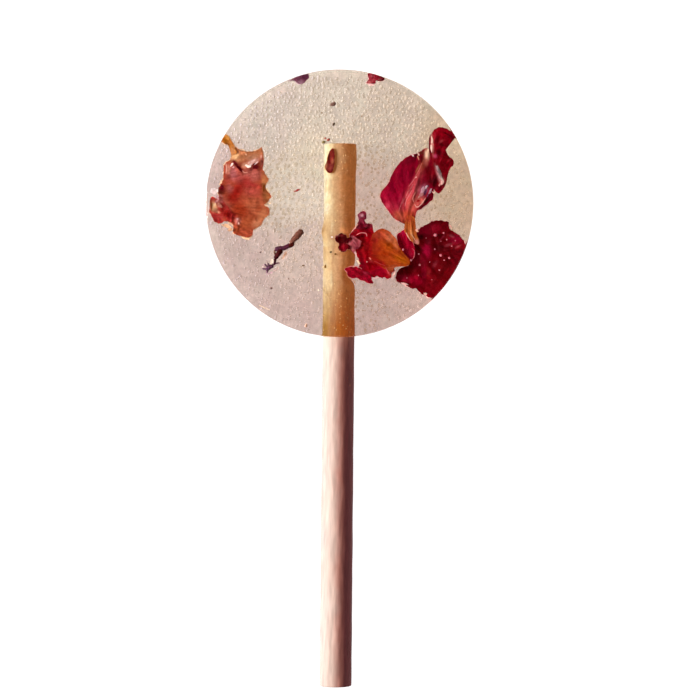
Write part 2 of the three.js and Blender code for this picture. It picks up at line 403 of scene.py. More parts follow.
# %% Cloudy finish
WHITE_BELOW = 1.13  # how bright the table shows through clear sugar
THROUGH_SUGAR = (0.93, 0.86, 0.71)  # what the sugar over the veil leaves of each colour
SKIN_HEIGHT = 0.7


def cloudy_material():
    """A veil that lets through the share of each colour that its points carry."""
    material, tree, output = new_material("cloudy_sugar")
    place = tree.nodes.new("ShaderNodeTexCoord").outputs["Object"]
    blotches = noise_strength(tree, place, 480.0, 2.0, 0.035)
    grain = noise_strength(tree, drawn_out(tree, place, (1900, 1100, 1900)), 1.0, 2.0, 0.07)
    veil = tree.nodes.new("ShaderNodeBsdfTransparent")
    tree.links.new(point_colour(tree, product(tree, blotches, grain)), veil.inputs["Color"])
    tree.links.new(veil.outputs["BSDF"], output.inputs["Surface"])
    return material


print(f"the veil lies {SKIN_HEIGHT} mm over the underside")

# %% [markdown]
# The veil, each blade of a petal and each glint of air are thin sheets with points close enough together
# to carry soft changes of colour. A grid could be cut to shape, but a cut leaves a saw-toothed edge. So a
# sheet starts as a circle whose edge is extruded inwards ring by ring: the points spread evenly, and the
# outer ring is the edge itself. A second copy, just above or below, then closes it to a thin solid.

# %% Thin sheets


def grow_loop(bm, edges):
    """Extrudes a closed loop of edges where it is. Returns the new loop's edges and its points."""
    grown = bmesh.ops.extrude_edge_only(bm, edges=edges)["geom"]
    verts = [part for part in grown if isinstance(part, bmesh.types.BMVert)]
    return [part for part in grown if isinstance(part, bmesh.types.BMEdge)], verts


def flat_rings(bm, rings, around):
    """A flat disc of radius 1 made of rings. Returns its points."""
    old = set(bm.verts)
    rim = bmesh.ops.create_circle(bm, segments=around, radius=1.0)["verts"]
    edges = list({edge for vert in rim for edge in vert.link_edges})
    for left in range(rings - 1, 0, -1):
        edges, verts = grow_loop(bm, edges)
        bmesh.ops.scale(bm, verts=verts, vec=(left / (left + 1),) * 3)
    bmesh.ops.contextual_create(bm, geom=edges)
    return [vert for vert in bm.verts if vert not in old]


def thicken(bm, rise):
    """Gives flat sheets their thickness: upwards, or downwards where the rise is below 0."""
    other = bmesh.ops.extrude_face_region(bm, geom=bm.faces[:], use_keep_orig=True)["geom"]
    other = [part for part in other if isinstance(part, bmesh.types.BMVert)]
    bmesh.ops.translate(bm, verts=other, vec=(0, 0, rise))
    bmesh.ops.recalc_face_normals(bm, faces=bm.faces[:])


print("a sheet of 4 rings of 20 points has", 3 * 20 + 1, "faces")

# %% [markdown]
# The veil is the largest of these sheets. As a thin solid it has two faces for light to pass on its way,
# which is why each of them holds back only the root of the colour. Its tones are those of the places,
# with a faint blush in patches, as no batch of syrup cools quite evenly.

# %% Cloudy skin
SKIN_THICKNESS = 0.1
SKIN_INSET = 0.02
BLUSH_SIZE = 2.5


def cloudy_skin():
    """The thin cloudy layer near the underside, closed and with its colours on its points."""
    bm = bmesh.new()
    tint = bm.verts.layers.float_color.new("tint")
    flat_rings(bm, 36, 160)
    reach = DISC_RADIUS - SKIN_INSET
    bmesh.ops.scale(bm, verts=bm.verts[:], vec=(reach, reach, 1))
    bmesh.ops.translate(bm, verts=bm.verts[:], vec=(0, 0, SKIN_HEIGHT))
    for vert in bm.verts:
        tone = sugar_place(vert.co.x, vert.co.y)[0]
        blush = noise.noise(Vector((vert.co.x / BLUSH_SIZE, vert.co.y / BLUSH_SIZE, 11.0)))
        tone = (tone[0], tone[1] * (1 - 0.05 * blush), tone[2] * (1 - 0.03 * blush))
        vert[tint] = tuple(math.sqrt(tone[i] / WHITE_BELOW / THROUGH_SUGAR[i]) for i in range(3)) + (1.0,)
    thicken(bm, SKIN_THICKNESS)
    finish_piece("cloudy_skin", bm, cloudy_material())


cloudy_skin()

# %% [markdown]
# Just over the cloudy skin lie many tiny bubbles, packed so closely that the sugar looks like orange
# peel. A bump pattern would shift and fade from the side, while real balls keep catching the light. One
# low ball is made with an operator, and every bubble is a stretched and turned copy of it in a single
# mesh, because thousands of objects, or thousands of calls to the operator, would take minutes.

# %% Many small balls in one mesh


def scattered_balls(name, places, material):
    """One mesh of small balls. Each place is (centre, radii, turn about Z, tint)."""
    ball = bmesh.new()
    bmesh.ops.create_uvsphere(ball, u_segments=8, v_segments=5, radius=1)
    ball.verts.index_update()
    corners = [vert.co.copy() for vert in ball.verts]
    faces = [tuple(vert.index for vert in face.verts) for face in ball.faces]
    ball.free()
    points = []
    polygons = []
    tints = []
    for centre, radii, turn, tone in places:
        first = len(points)
        spin = Matrix.Rotation(turn, 3, "Z")
        points += [(Vector(centre) + spin @ Vector((c.x * radii[0], c.y * radii[1], c.z * radii[2]))) * MM
                   for c in corners]
        polygons += [tuple(first + index for index in face) for face in faces]
        tints += list(tone) * len(corners)
    mesh = bpy.data.meshes.new(name)
    mesh.from_pydata(points, [], polygons)
    layer = mesh.color_attributes.new("tint", "FLOAT_COLOR", "POINT")
    layer.data.foreach_set("color", tints)
    mesh.shade_smooth()
    place_piece(name, mesh, material)
    print(name, len(places), "balls")


print("a ball of 8 by 5 has 40 faces, so even thousands of them stay light")

# %% [markdown]
# The bubbles stand in rough rows, nudged out of place, with some places left empty where the sugar is
# clearer. Random places alone would leave holes and heaps that such a crowd of bubbles never has. Each
# takes the tone of the sugar around it, a little dimmed, and is drawn out roughly in line with the stick,
# the way the syrup was spread.

# %% Bubbles in the sugar
BUBBLE_SPACING = 0.84
BUBBLE_NUDGE = (-0.3, 0.3)
BUBBLE_RADII = (0.2, 0.36)
BUBBLE_STRETCH = (1.0, 1.7)
BUBBLE_LEVELS = (1.3, 1.5)
BUBBLE_TONE = 0.77
BUBBLE_SHINE = (0.86, 1.1)
bubble_random = random.Random(7)
BUBBLE_FINISH = painted_material("air_bubble", roughness=0.5, lift=1.0, shade=(0.36, 0.44, 0.78),
                                 mottle=(3000.0, 0.03))


def bubble_field():
    """All the bubbles of the disc, crowded as the list of places says."""
    reach = DISC_RADIUS - 0.6
    rows = int(reach / BUBBLE_SPACING) + 4
    places = []
    for row in range(-rows, rows + 1):
        for column in range(-rows, rows + 1):
            x = (column + 0.5 * (row % 2)) * BUBBLE_SPACING + bubble_random.uniform(*BUBBLE_NUDGE)
            y = row * BUBBLE_SPACING + bubble_random.uniform(*BUBBLE_NUDGE)
            radius = bubble_random.uniform(*BUBBLE_RADII)
            stretch = bubble_random.uniform(*BUBBLE_STRETCH)
            turn = bubble_random.gauss(-0.15, 0.3)
            z = bubble_random.uniform(*BUBBLE_LEVELS)
            luck = bubble_random.random()
            if math.hypot(x, y) > reach:
                continue
            tone, crowd = sugar_place(x, y)
            if luck > math.sqrt(crowd):
                continue
            radius *= 0.6 + 0.4 * min(1.0, crowd)
            height = 0.04 + 0.22 * crowd
            dim = BUBBLE_TONE * bubble_random.uniform(*BUBBLE_SHINE)
            tint = tuple(dim * value for value in tone) + (1.0,)
            places.append(((x, y, z), (radius, radius * stretch, height), turn, tint))
    scattered_balls("bubbles", places, BUBBLE_FINISH)


bubble_field()

# %% [markdown]
# A petal's edge, a stem and a thin line of air are all free curves. Blender's own curve objects could
# draw them, but they can't be asked for a point along the way. A Catmull-Rom curve runs smoothly through
# the points it is given, so a shape needs only the few points that matter, and one short formula serves
# closed outlines and open paths.

# %% Smooth curves


def catmull(a, b, c, d, t):
    """A place between b and c on the smooth curve through four points."""
    bend = (2 * a - 5 * b + 4 * c - d) * t ** 2 + (3 * b - a - 3 * c + d) * t ** 3
    return 0.5 * (2 * b + (c - a) * t + bend)


def closed_curve(points, turn):
    """A point on the smooth closed curve through the given points, for a turn from 0 to 1."""
    place = (turn % 1) * len(points)
    index = int(place)
    return catmull(*(Vector(points[(index + step) % len(points)]) for step in (-1, 0, 1, 2)), place - index)


def open_curve(points, share):
    """A point on the smooth open curve through the given points, for a share from 0 to 1."""
    place = min(share, 0.99999) * (len(points) - 1)
    index = int(place)
    near = [Vector(points[min(max(index + step, 0), len(points) - 1)]) for step in (-1, 0, 1, 2)]
    return catmull(*near, place - index)


print("halfway along a bend:", tuple(round(part, 2) for part in open_curve([(0, 0), (1, 1), (2, 0)], 0.25)))

# %% [markdown]
# The stick, the small stem and the lines of air are all round and long. One upright tube is made for them
# all: a circle, extruded step by step and closed at both ends. Its points are then carried along a path,
# each with the path's own thickness at that place, which keeps the tube closed however it bends.


def unit_tube(bm, segments, steps):
    """An upright tube of radius 1 from z 0 to z 1, closed at both ends. Returns its points."""
    old = set(bm.verts)
    circle = bmesh.ops.create_circle(bm, segments=segments, radius=1.0)["verts"]
    edges = list({edge for vert in circle for edge in vert.link_edges})
    bmesh.ops.contextual_create(bm, geom=edges)
    for _ in range(steps):
        edges, verts = grow_loop(bm, edges)
        bmesh.ops.translate(bm, verts=verts, vec=(0, 0, 1 / steps))
    bmesh.ops.contextual_create(bm, geom=edges)
    return [vert for vert in bm.verts if vert not in old]


def add_tube(bm, path, first, last, flat=1.0, segments=8, steps=12, rough=0.0):
    """Adds a tube along a path of (x, y, z, radius), from its first colour to its last."""
    tint = bm.verts.layers.float_color["tint"]
    for vert in unit_tube(bm, segments, steps):
        share = vert.co.z
        here = open_curve(path, share)
        ahead = open_curve(path, min(1.0, share + 0.02)) - open_curve(path, max(0.0, share - 0.02))
        along = Vector(ahead[:3]).normalized()
        side = along.cross(Vector((0, 0, 1))).normalized()
        up = side.cross(along)
        swell = noise.noise(Vector(here[:3]) * 2.5 + Vector((vert.co.x, vert.co.y, 0)))
        radius = here[3] * (1 + rough * swell)
        end = 0.25 if share < 0.001 or share > 0.999 else 1.0
        vert.co = Vector(here[:3]) + radius * end * (side * vert.co.x + up * flat * vert.co.y)
        vert[tint] = mixed(first, last, share)


print("a tube is a circle extruded in steps, and takes a colour for each end")

# %% [markdown]
# Crumbs and small round bubbles are too small to need an outline. An icosphere has even faces and no
# poles, so it is stretched, turned and swelled a little by noise, which is enough for a shape that never
# repeats.

# %% Blobs


def add_blob(bm, centre, radii, heading, tone, rough):
    """Adds a small irregular blob with its longest side along a heading in degrees."""
    tint = bm.verts.layers.float_color["tint"]
    spin = Matrix.Rotation(math.radians(heading), 3, "Z")
    for vert in bmesh.ops.create_icosphere(bm, subdivisions=2, radius=1.0)["verts"]:
        swell = 1 + rough * noise.noise(vert.co * 1.3 + Vector(centre))
        away = Vector((vert.co.x * radii[0], vert.co.y * radii[1], vert.co.z * radii[2])) * swell
        vert.co = Vector(centre) + spin @ away
        vert[tint] = tone


print("a blob has 80 faces")

# %% [markdown]
# A dried petal changes colour as a watercolour does, in soft spots with ragged borders, and it creases
# along short lines. Both could be brushed by hand in the editor, but a script has to find them again on
# every run. So a spot is written as a place with a reach along and across it, and a crease as a line with
# a width and a height.

# %% Spots and creases


def spot_share(x, y, spot):
    """How strongly a spot (x, y, reach along, reach across, heading in degrees, ...) covers a point."""
    angle = math.radians(spot[4])
    along = (x - spot[0]) * math.cos(angle) + (y - spot[1]) * math.sin(angle)
    across = (y - spot[1]) * math.cos(angle) - (x - spot[0]) * math.sin(angle)
    wobble = 1 + 0.5 * noise.noise(Vector((x * 1.1, y * 1.1, spot[0])))
    return math.exp(-((along / spot[2]) ** 2 + (across / spot[3]) ** 2) ** 1.5 * wobble)


def crease_lift(x, y, crease):
    """The height that a crease (from x, y, to x, y, half width, height) gives a point."""
    start = Vector(crease[0:2])
    line = Vector(crease[2:4]) - start
    share = max(0.0, min(1.0, (Vector((x, y)) - start).dot(line) / line.length_squared))
    away = (Vector((x, y)) - start - share * line).length
    return crease[5] * math.exp(-(away / crease[4]) ** 2) * (1 - 0.5 * abs(2 * share - 1))


print("a spot covers", round(spot_share(0.5, 0, (0, 0, 1, 1, 0)), 2), "of a point half its reach away")

# %% [markdown]
# A petal is made of blades, each a thin sheet, and no blade is flat. Sculpting would give one good blade,
# but each needs its own, and the next step has to know how high a blade lies at any place. So the height
# is a sum: the blade's slope and arch, its creases, a crumple, and the fine pleats that fan out from the
# claw, where the petal was joined to the flower.

# %% Height of a blade
USUAL_BLADE = {
    "slope": (0, 0),  # rise per millimetre along X and Y
    "arch": 0, "heading": 90,  # how fast it falls away on both sides of its heading, which is in degrees
    "crumple": 0.12,  # height of the crumples
    "fan": (6, 0.1),  # how many pleats and veins leave the claw, and how high the pleats are
    "ragged": 0.14,  # how far the edge frays
    "streaks": (0.14, 0.9, 0.9),  # strength of the dapple, and its size along X and Y
    "rings": 26, "around": 200,  # how fine its mesh is
    "film": None,  # how far the air under it shows past its edge, and the colour of that air
    "spots": (),  # each: x, y, reach along and across, heading, colour, and how well it covers if unusual
    # folds: many dark ones are painted shade in a crease, the pale ones painted highlights
    "folds": (),  # each: x, y, half length, half width, heading, colour
    "creases": (),  # each: from x, y, to x, y, half width, height
}


def full_blade(given):
    """A blade with the usual values for all that isn't given. Its claw is its middle, then."""
    return {**USUAL_BLADE, "claw": given["middle"], **given}


def sheet_height(shape, x, y):
    """The height of a blade over the disc's underside at a place."""
    heading = math.radians(shape["heading"])
    pleats, lift = shape["fan"]
    out = Vector((x, y)) - Vector(shape["middle"])
    away = Vector((x, y)) - Vector(shape["claw"])
    across = out.x * math.sin(heading) - out.y * math.cos(heading)
    z = shape["height"] + shape["slope"][0] * out.x + shape["slope"][1] * out.y - shape["arch"] * across ** 2
    z += sum(crease_lift(x, y, crease) for crease in shape["creases"])
    z += shape["crumple"] * noise.noise(Vector((x / 2.1, y / 2.1, 4.0)))
    z += shape["crumple"] * 0.6 * noise.noise(Vector((x / 0.8, y / 0.8, 9.0)))
    fan = Vector((math.atan2(away.y, away.x) * pleats, away.length / 9, 2.0))
    z += lift * min(1.0, away.length / 3) * noise.noise(fan)
    return min(z, DISC_THICKNESS - 0.4)


flat_blade = full_blade({"middle": (0, 0), "height": 5.0})
print("a flat blade at 5 mm lies at", round(sheet_height(flat_blade, 1, 1), 2), "mm in one place")

# %% [markdown]
# Folds, glints and pale torn flecks are far smaller than a blade. Many dark folds are painted shade in a
# crease, and the pale ones are painted highlights. Painting them on its points would need many more points
# everywhere, so each is a small ragged patch of its own that follows the height of what it lies on.

# %% Patches


def add_patch(bm, place, length, width, heading, tone, height_of, ragged=0.45):
    """Adds a small ragged patch, long along a heading in degrees, whose points lie at height_of(x, y)."""
    tint = bm.verts.layers.float_color["tint"]
    spin = Matrix.Rotation(math.radians(heading), 2)
    middle = Vector(place)
    for vert in flat_rings(bm, 4, 20):
        way = vert.co.xy / max(vert.co.xy.length, 0.001)
        torn = 1 + ragged * noise.noise(Vector((way.x * 1.6, way.y * 1.6, middle.x * 3)))
        torn += ragged * noise.noise(Vector((way.x * 4, way.y * 4, middle.y * 3)))
        x, y = middle + spin @ Vector((vert.co.x * length, vert.co.y * width)) * torn
        dapple = 0.9 + 0.3 * noise.noise(Vector((x * 2.6, y * 2.6, 1.0)))
        vert.co = Vector((x, y, height_of(x, y)))
        vert[tint] = tuple(channel * dapple for channel in tone[:3]) + (1.0,)


print("a patch is a disc of 4 rings of 20 points")

# %% [markdown]
# Now the blade itself. Each point of the disc of rings is sent out to the outline, which noise frays,
# then lifted to its height and given its colour: the base, then each spot over it, then a fine dapple.
# The same function makes the sheet of air that lies under a blade and shows as a pale rim where the syrup
# didn't quite reach the petal.

# %% Blades
PETAL_THICKNESS = 0.12
FOLD_LIFT = 0.06
FILM_DROP = 2.5 * PETAL_THICKNESS
FILM_RINGS = 6
USUAL_COVER = 0.9


def add_sheet(bm, shape, grow=0.0, film=None):
    """Adds one blade of a petal to a bmesh, with its colours and its veins' way in two layers.

    With grow and film it adds the sheet of air under that blade, which shows here and there past its edge.
    """
    tint = bm.verts.layers.float_color["tint"]
    vein = bm.verts.layers.float_vector["vein"]
    middle = Vector(shape["middle"])
    claw = Vector(shape["claw"])
    streak, streak_x, streak_y = shape["streaks"]
    spots = [(spot, colour(*spot[5]), spot[6] if len(spot) > 6 else USUAL_COVER) for spot in shape["spots"]]
    for vert in flat_rings(bm, FILM_RINGS if film else shape["rings"], shape["around"]):
        share = vert.co.xy.length
        edge = closed_curve(shape["outline"], math.atan2(vert.co.y, vert.co.x) / math.tau)
        wave = noise.noise(Vector((edge.x * 1.6, edge.y * 1.6, 0.0)))
        wave += 0.9 * noise.noise(Vector((edge.x * 4, edge.y * 4, 1.0)))
        bulge = shape["ragged"] * wave
        bulge += grow * (0.5 + 1.8 * noise.noise(Vector((edge.x * 0.9, edge.y * 0.9, 5.0))))
        out = edge - middle
        x, y = middle + out * (1 + bulge / max(out.length, 0.5)) * share
        inside = min(1.0, (DISC_RADIUS - 0.1) / math.hypot(x, y))
        x, y = x * inside, y * inside
        away = Vector((x, y)) - claw
        dapple = 1 + streak * noise.noise(Vector((x / streak_x, y / streak_y, 6.0)))
        shade = film or colour(*shape["base"])
        for spot, tone, cover in () if film else spots:
            shade = mixed(shade, tone, spot_share(x, y, spot) * cover)
        vert.co = Vector((x, y, sheet_height(shape, x, y) - (FILM_DROP if film else 0)))
        vert[vein] = (math.atan2(away.y, away.x) * shape["fan"][0] * 2.5, away.length * 0.35, middle.x)
        vert[tint] = tuple(channel * dapple for channel in shade[:3]) + (1.0,)
    for x, y, length, width, heading, tone in () if film else shape["folds"]:
        add_patch(bm, (x, y), length, width, heading, colour(*tone),
                  lambda u, v: sheet_height(shape, u, v) + FOLD_LIFT)


print(f"petals are {PETAL_THICKNESS} mm thick")

# %% [markdown]
# The stick is plain turned birch, set very slightly off square, as a stick pushed into soft sugar is.
# Where its axis lies has to be known by all that touches it, so it is one small function.

# %% Where the stick lies
STICK_LEAN = math.radians(-0.5)
STICK_TOP_X = 0.1


def stick_x(y):
    """Where the stick's axis is, in X, at a place y along it."""
    return STICK_TOP_X - (STICK_TOP - y) * math.tan(-STICK_LEAN)


print(f"the stick's lower end lies {stick_x(STICK_BOTTOM):.2f} mm to the side")

# %% [markdown]
# Outside the sugar the wood is pale, and a painted shade darkens it to rosy brown towards its right side,
# away from the lamp. Inside, it is soaked golden, with a painted highlight along its left edge, browner
# towards the place where it comes out, with darker marks and a few paler places of painted light. A wood
# texture would give rings and one pair of colours, so the tones run across the stick from stop to stop,
# like a colour ramp, and noise drawn out along it bends them into grain.

# %% Tones of the wood
# stops across the stick, from -1 on its left edge to 1 on its right, each with its colour; the dry wood's
# darker right is painted shade, the soaked wood's pale left edge a painted highlight
DRY_WOOD_LIT_AND_SHADED = [(-1.0, (0.53, 0.47, 0.43, 1)), (-0.85, (0.57, 0.48, 0.42, 1)), (-0.2, (0.60, 0.44, 0.36, 1)),
            (0.05, (0.60, 0.35, 0.28, 1)), (0.3, (0.53, 0.23, 0.17, 1)), (1.0, (0.48, 0.17, 0.15, 1))]
WET_WOOD_LIT_AND_SHADED = [(-1.0, (0.36, 0.38, 0.35, 1)), (-0.75, (0.34, 0.32, 0.22, 1)), (-0.45, (0.24, 0.17, 0.09, 1)),
            (0.0, (0.30, 0.18, 0.095, 1)), (0.5, (0.36, 0.16, 0.06, 1)), (1.0, (0.36, 0.16, 0.05, 1))]
# each mark: x, y, reach in x, reach in y, share of the light that it takes (below 0 it is a paler place,
# which is painted light)
WOOD_MARKS_AND_PAINTED_LIGHT = [(-1.2, -6.2, 0.6, 1.3, 0.36), (-2.9, -5.0, 0.4, 0.6, 0.4), (0.9, -5.0, 0.8, 0.5, -0.7),
               (1.3, -5.6, 0.5, 0.4, -0.7)]


def ramp(stops, value):
    """A blend of colours at stops of (position, colour)."""
    for (low, first), (high, second) in zip(stops, stops[1:]):
        if value <= high:
            return mixed(first, second, max(0.0, (value - low) / (high - low)))
    return stops[-1][1]


def soaked_tone(u, y, wobble):
    """The colour of the wood inside the sugar, with its painted highlight, before its grain."""
    wobble += 0.2 * noise.noise(Vector((y / 1.1, u * 3, 2)))
    wobble += 0.16 * noise.noise(Vector((y / 2.6, u, 11)))
    tone = ramp(WET_WOOD_LIT_AND_SHADED, u + wobble)
    # on the left edge the painted highlight gives way to darker brown around y -5 and below y -8
    if u < -0.5:
        tone = mixed(tone, WET_WOOD_LIT_AND_SHADED[2][1], 0.95 * math.exp(-((y + 5) / 3) ** 2) + 0.55 * (y < -8))
    browned = min(1.0, max(0.0, (-14 - y) / 9))
    left = 0.5 - 0.5 * u
    browning = (0.08 + 0.6 * left, 0.66 + 0.1 * left, 0.95)
    return [channel * (1 - browned * share) for channel, share in zip(tone, browning)]


def grain_with_marks_and_painted_light(u, y, grain):
    """The grain's strength inside the sugar: blotched, dimmed by the darker marks and brightened by painted
    light at the paler places.
    """
    grain += 0.22 * noise.noise(Vector((u * 4, y / 1.0, 6)))
    grain += 0.16 * noise.noise(Vector((u * 5 + y * 1.4, (u - y) / 2.5, 14)))
    for mark_x, mark_y, reach_x, reach_y, taken in WOOD_MARKS_AND_PAINTED_LIGHT:
        away = ((u * STICK_RADIUS - mark_x) / reach_x) ** 2 + ((y - mark_y) / reach_y) ** 2
        grain *= 1 - taken * math.exp(-away)
    return grain


def wood_tone(u, y):
    """The wood's colour, painted light and shade included, at u, from -1 on the left edge to 1 on the right,
    and a place y along it.
    """
    wobble = 0.16 * noise.noise(Vector((y / 6, u, 0))) + 0.07 * noise.noise(Vector((y / 1.6, u * 2, 5)))
    grain = 1 + 0.2 * noise.noise(Vector((u * 7, y / 6, 3)))
    grain += 0.16 * noise.noise(Vector((u * 20, y / 2.4, 8)))
    if y < -DISC_RADIUS:
        tone = ramp(DRY_WOOD_LIT_AND_SHADED, u + wobble)
    else:
        tone = soaked_tone(u, y, wobble)
        grain = grain_with_marks_and_painted_light(u, y, grain)
    return tuple(channel * grain for channel in tone[:3]) + (1.0,)


print("dry wood in the middle:", tuple(round(channel, 2) for channel in wood_tone(0, -60)[:3]))

# %% [markdown]
# The finest grain is in the finish, because it is finer than the points: a noise drawn out eight times
# along the stick, also as a slight relief. The soaked part shows blotches instead, and a warm glow of its
# own, since the sugar around it gathers light on the wood that plain lamps over a sheet of glass don't
# bring there.

# %% Wood finish
GRAIN_ACROSS = 2600
GRAIN_ALONG = 330
SOAKED_GLOW = (0.16, 0.038, 0.006, 1)


def wood_material():
    """Birch with fine grain, blotched and warmer where it is inside the sugar."""
    material, tree, output = new_material("birch")
    link = tree.links.new
    place = tree.nodes.new("ShaderNodeTexCoord").outputs["Object"]
    grain = noise_pattern(tree, drawn_out(tree, place, (GRAIN_ACROSS, GRAIN_ALONG, GRAIN_ACROSS)), 1.0, 4.0)
    axes = tree.nodes.new("ShaderNodeSeparateXYZ")
    inside = tree.nodes.new("ShaderNodeMapRange")
    inside.inputs["From Min"].default_value = (-DISC_RADIUS - 0.05) * MM
    inside.inputs["From Max"].default_value = (-DISC_RADIUS + 0.05) * MM
    inside.inputs["To Max"].default_value = 1.0
    blotches = tree.nodes.new("ShaderNodeMix")
    blotches.inputs["A"].default_value = 1.0
    bump = tree.nodes.new("ShaderNodeBump")
    bump.inputs["Strength"].default_value = 0.5
    bump.inputs["Distance"].default_value = 0.05 * MM
    skin = tree.nodes.new("ShaderNodeBsdfPrincipled")
    skin.inputs["Roughness"].default_value = 0.6
    skin.inputs["Specular IOR Level"].default_value = 0.2
    skin.inputs["Emission Color"].default_value = SOAKED_GLOW
    link(place, axes.inputs["Vector"])
    link(axes.outputs["Y"], inside.inputs["Value"])
    link(inside.outputs["Result"], blotches.inputs["Factor"])
    link(noise_strength(tree, place, 2300.0, 3.0, 0.24), blotches.inputs["B"])
    both = product(tree, as_strength(tree, grain, 0.12), blotches.outputs["Result"])
    link(point_colour(tree, both), skin.inputs["Base Color"])
    link(inside.outputs["Result"], skin.inputs["Emission Strength"])
    link(grain, bump.inputs["Height"])
    link(bump.outputs["Normal"], skin.inputs["Normal"])
    link(skin.outputs["BSDF"], output.inputs["Surface"])
    return material


print("grain is drawn out", round(GRAIN_ACROSS / GRAIN_ALONG), "times along the stick")

# %% [markdown]
# The stick itself is the same upright tube with many steps, its ends bevelled as sandpaper leaves them.
# Then it is laid down along the frame's axis, and its points are moved a little: it wavers where it is
# soaked, swells at one place and is bitten in below the petal beside it. Moving points keeps the tube
# closed, where cutting might not.

# %% Wooden stick
END_ROUNDING = 0.15


def wooden_stick():
    """The whole stick, in and out of the sugar."""
    bm = bmesh.new()
    tint = bm.verts.layers.float_color.new("tint")
    unit_tube(bm, 64, 250)
    ends = [edge for edge in bm.edges if len(edge.link_faces) == 2 and edge.calc_face_angle() > 1.2]
    bmesh.ops.scale(bm, verts=bm.verts[:], vec=(STICK_RADIUS, STICK_RADIUS, STICK_TOP - STICK_BOTTOM))
    bmesh.ops.bevel(bm, geom=ends, offset=END_ROUNDING, segments=2, profile=0.5, affect="EDGES",
                    material=-1)
    for vert in bm.verts:
        x, z = vert.co.x, vert.co.y
        y = STICK_BOTTOM + vert.co.z
        u = x / STICK_RADIUS
        soaked = min(1.0, max(0.0, (y + DISC_RADIUS) / 3))
        rough = 0.05 * noise.noise(Vector((x * 1.5, y / 4, z * 1.5)))
        waver = 0.14 * noise.noise(Vector((0, y / 5.5, 0))) * soaked
        bulge = 0.35 * math.exp(-((y + 5.2) / 1.2) ** 2) * max(0.0, -u) ** 2
        bite = 1.5 * math.exp(-((y + 13.2) / 1.25) ** 2) * max(0.0, u) ** 1.5
        vert[tint] = wood_tone(u, y)
        vert.co.x = x * (1 + (waver + rough) / STICK_RADIUS) - bulge - bite + stick_x(y)
        vert.co.y = y
        vert.co.z = z * (1 + rough / STICK_RADIUS) + STICK_AXIS_Z
    bmesh.ops.recalc_face_normals(bm, faces=bm.faces[:])
    finish_piece("wooden_stick", bm, wood_material(), ["stick"])


wooden_stick()

# %% [markdown]
# The petals are dried rose petals, matt where they lie flat, faintly shiny on the folds, with veins that
# run out from the claw. A petal's blades could each be an object, but they belong to one solid of the
# frame, so they are joined in one mesh that stands for it. The films of air under all the petals are
# gathered in a mesh of their own.

# %% Petal finish
PETAL_FINISH = painted_material("dried_petal", roughness=0.45, specular=0.03, glow=0.15,
                                mottle=(2500.0, 0.2), veins=0.22, relief=0.12)


def new_painted_mesh():
    """A bmesh with the two layers that painted pieces carry."""
    bm = bmesh.new()
    bm.verts.layers.float_color.new("tint")
    bm.verts.layers.float_vector.new("vein")
    return bm


air_films = new_painted_mesh()


def petal(name, blades, node):
    """A whole petal from its blades, and the films of air that lie under them."""
    bm = new_painted_mesh()
    for given in blades:
        shape = full_blade(given)
        add_sheet(bm, shape)
        if shape["film"]:
            grow, tone = shape["film"]
            add_sheet(air_films, shape, grow, colour(*tone))
    thicken(bm, -PETAL_THICKNESS)
    finish_piece(name, bm, PETAL_FINISH, [node])


print("all petals wear the finish", PETAL_FINISH.name)

# %% [markdown]
# The left petal is salmon, redder in its middle and ochre along its scalloped right edge. Its claw is a
# thin yellow neck that reaches the rim, and its lower left corner is a small torn lobe folded over with a
# cream hole in it. The neck and the lobe lie over the body, so they are blades of their own: one sheet
# can't lie over itself.

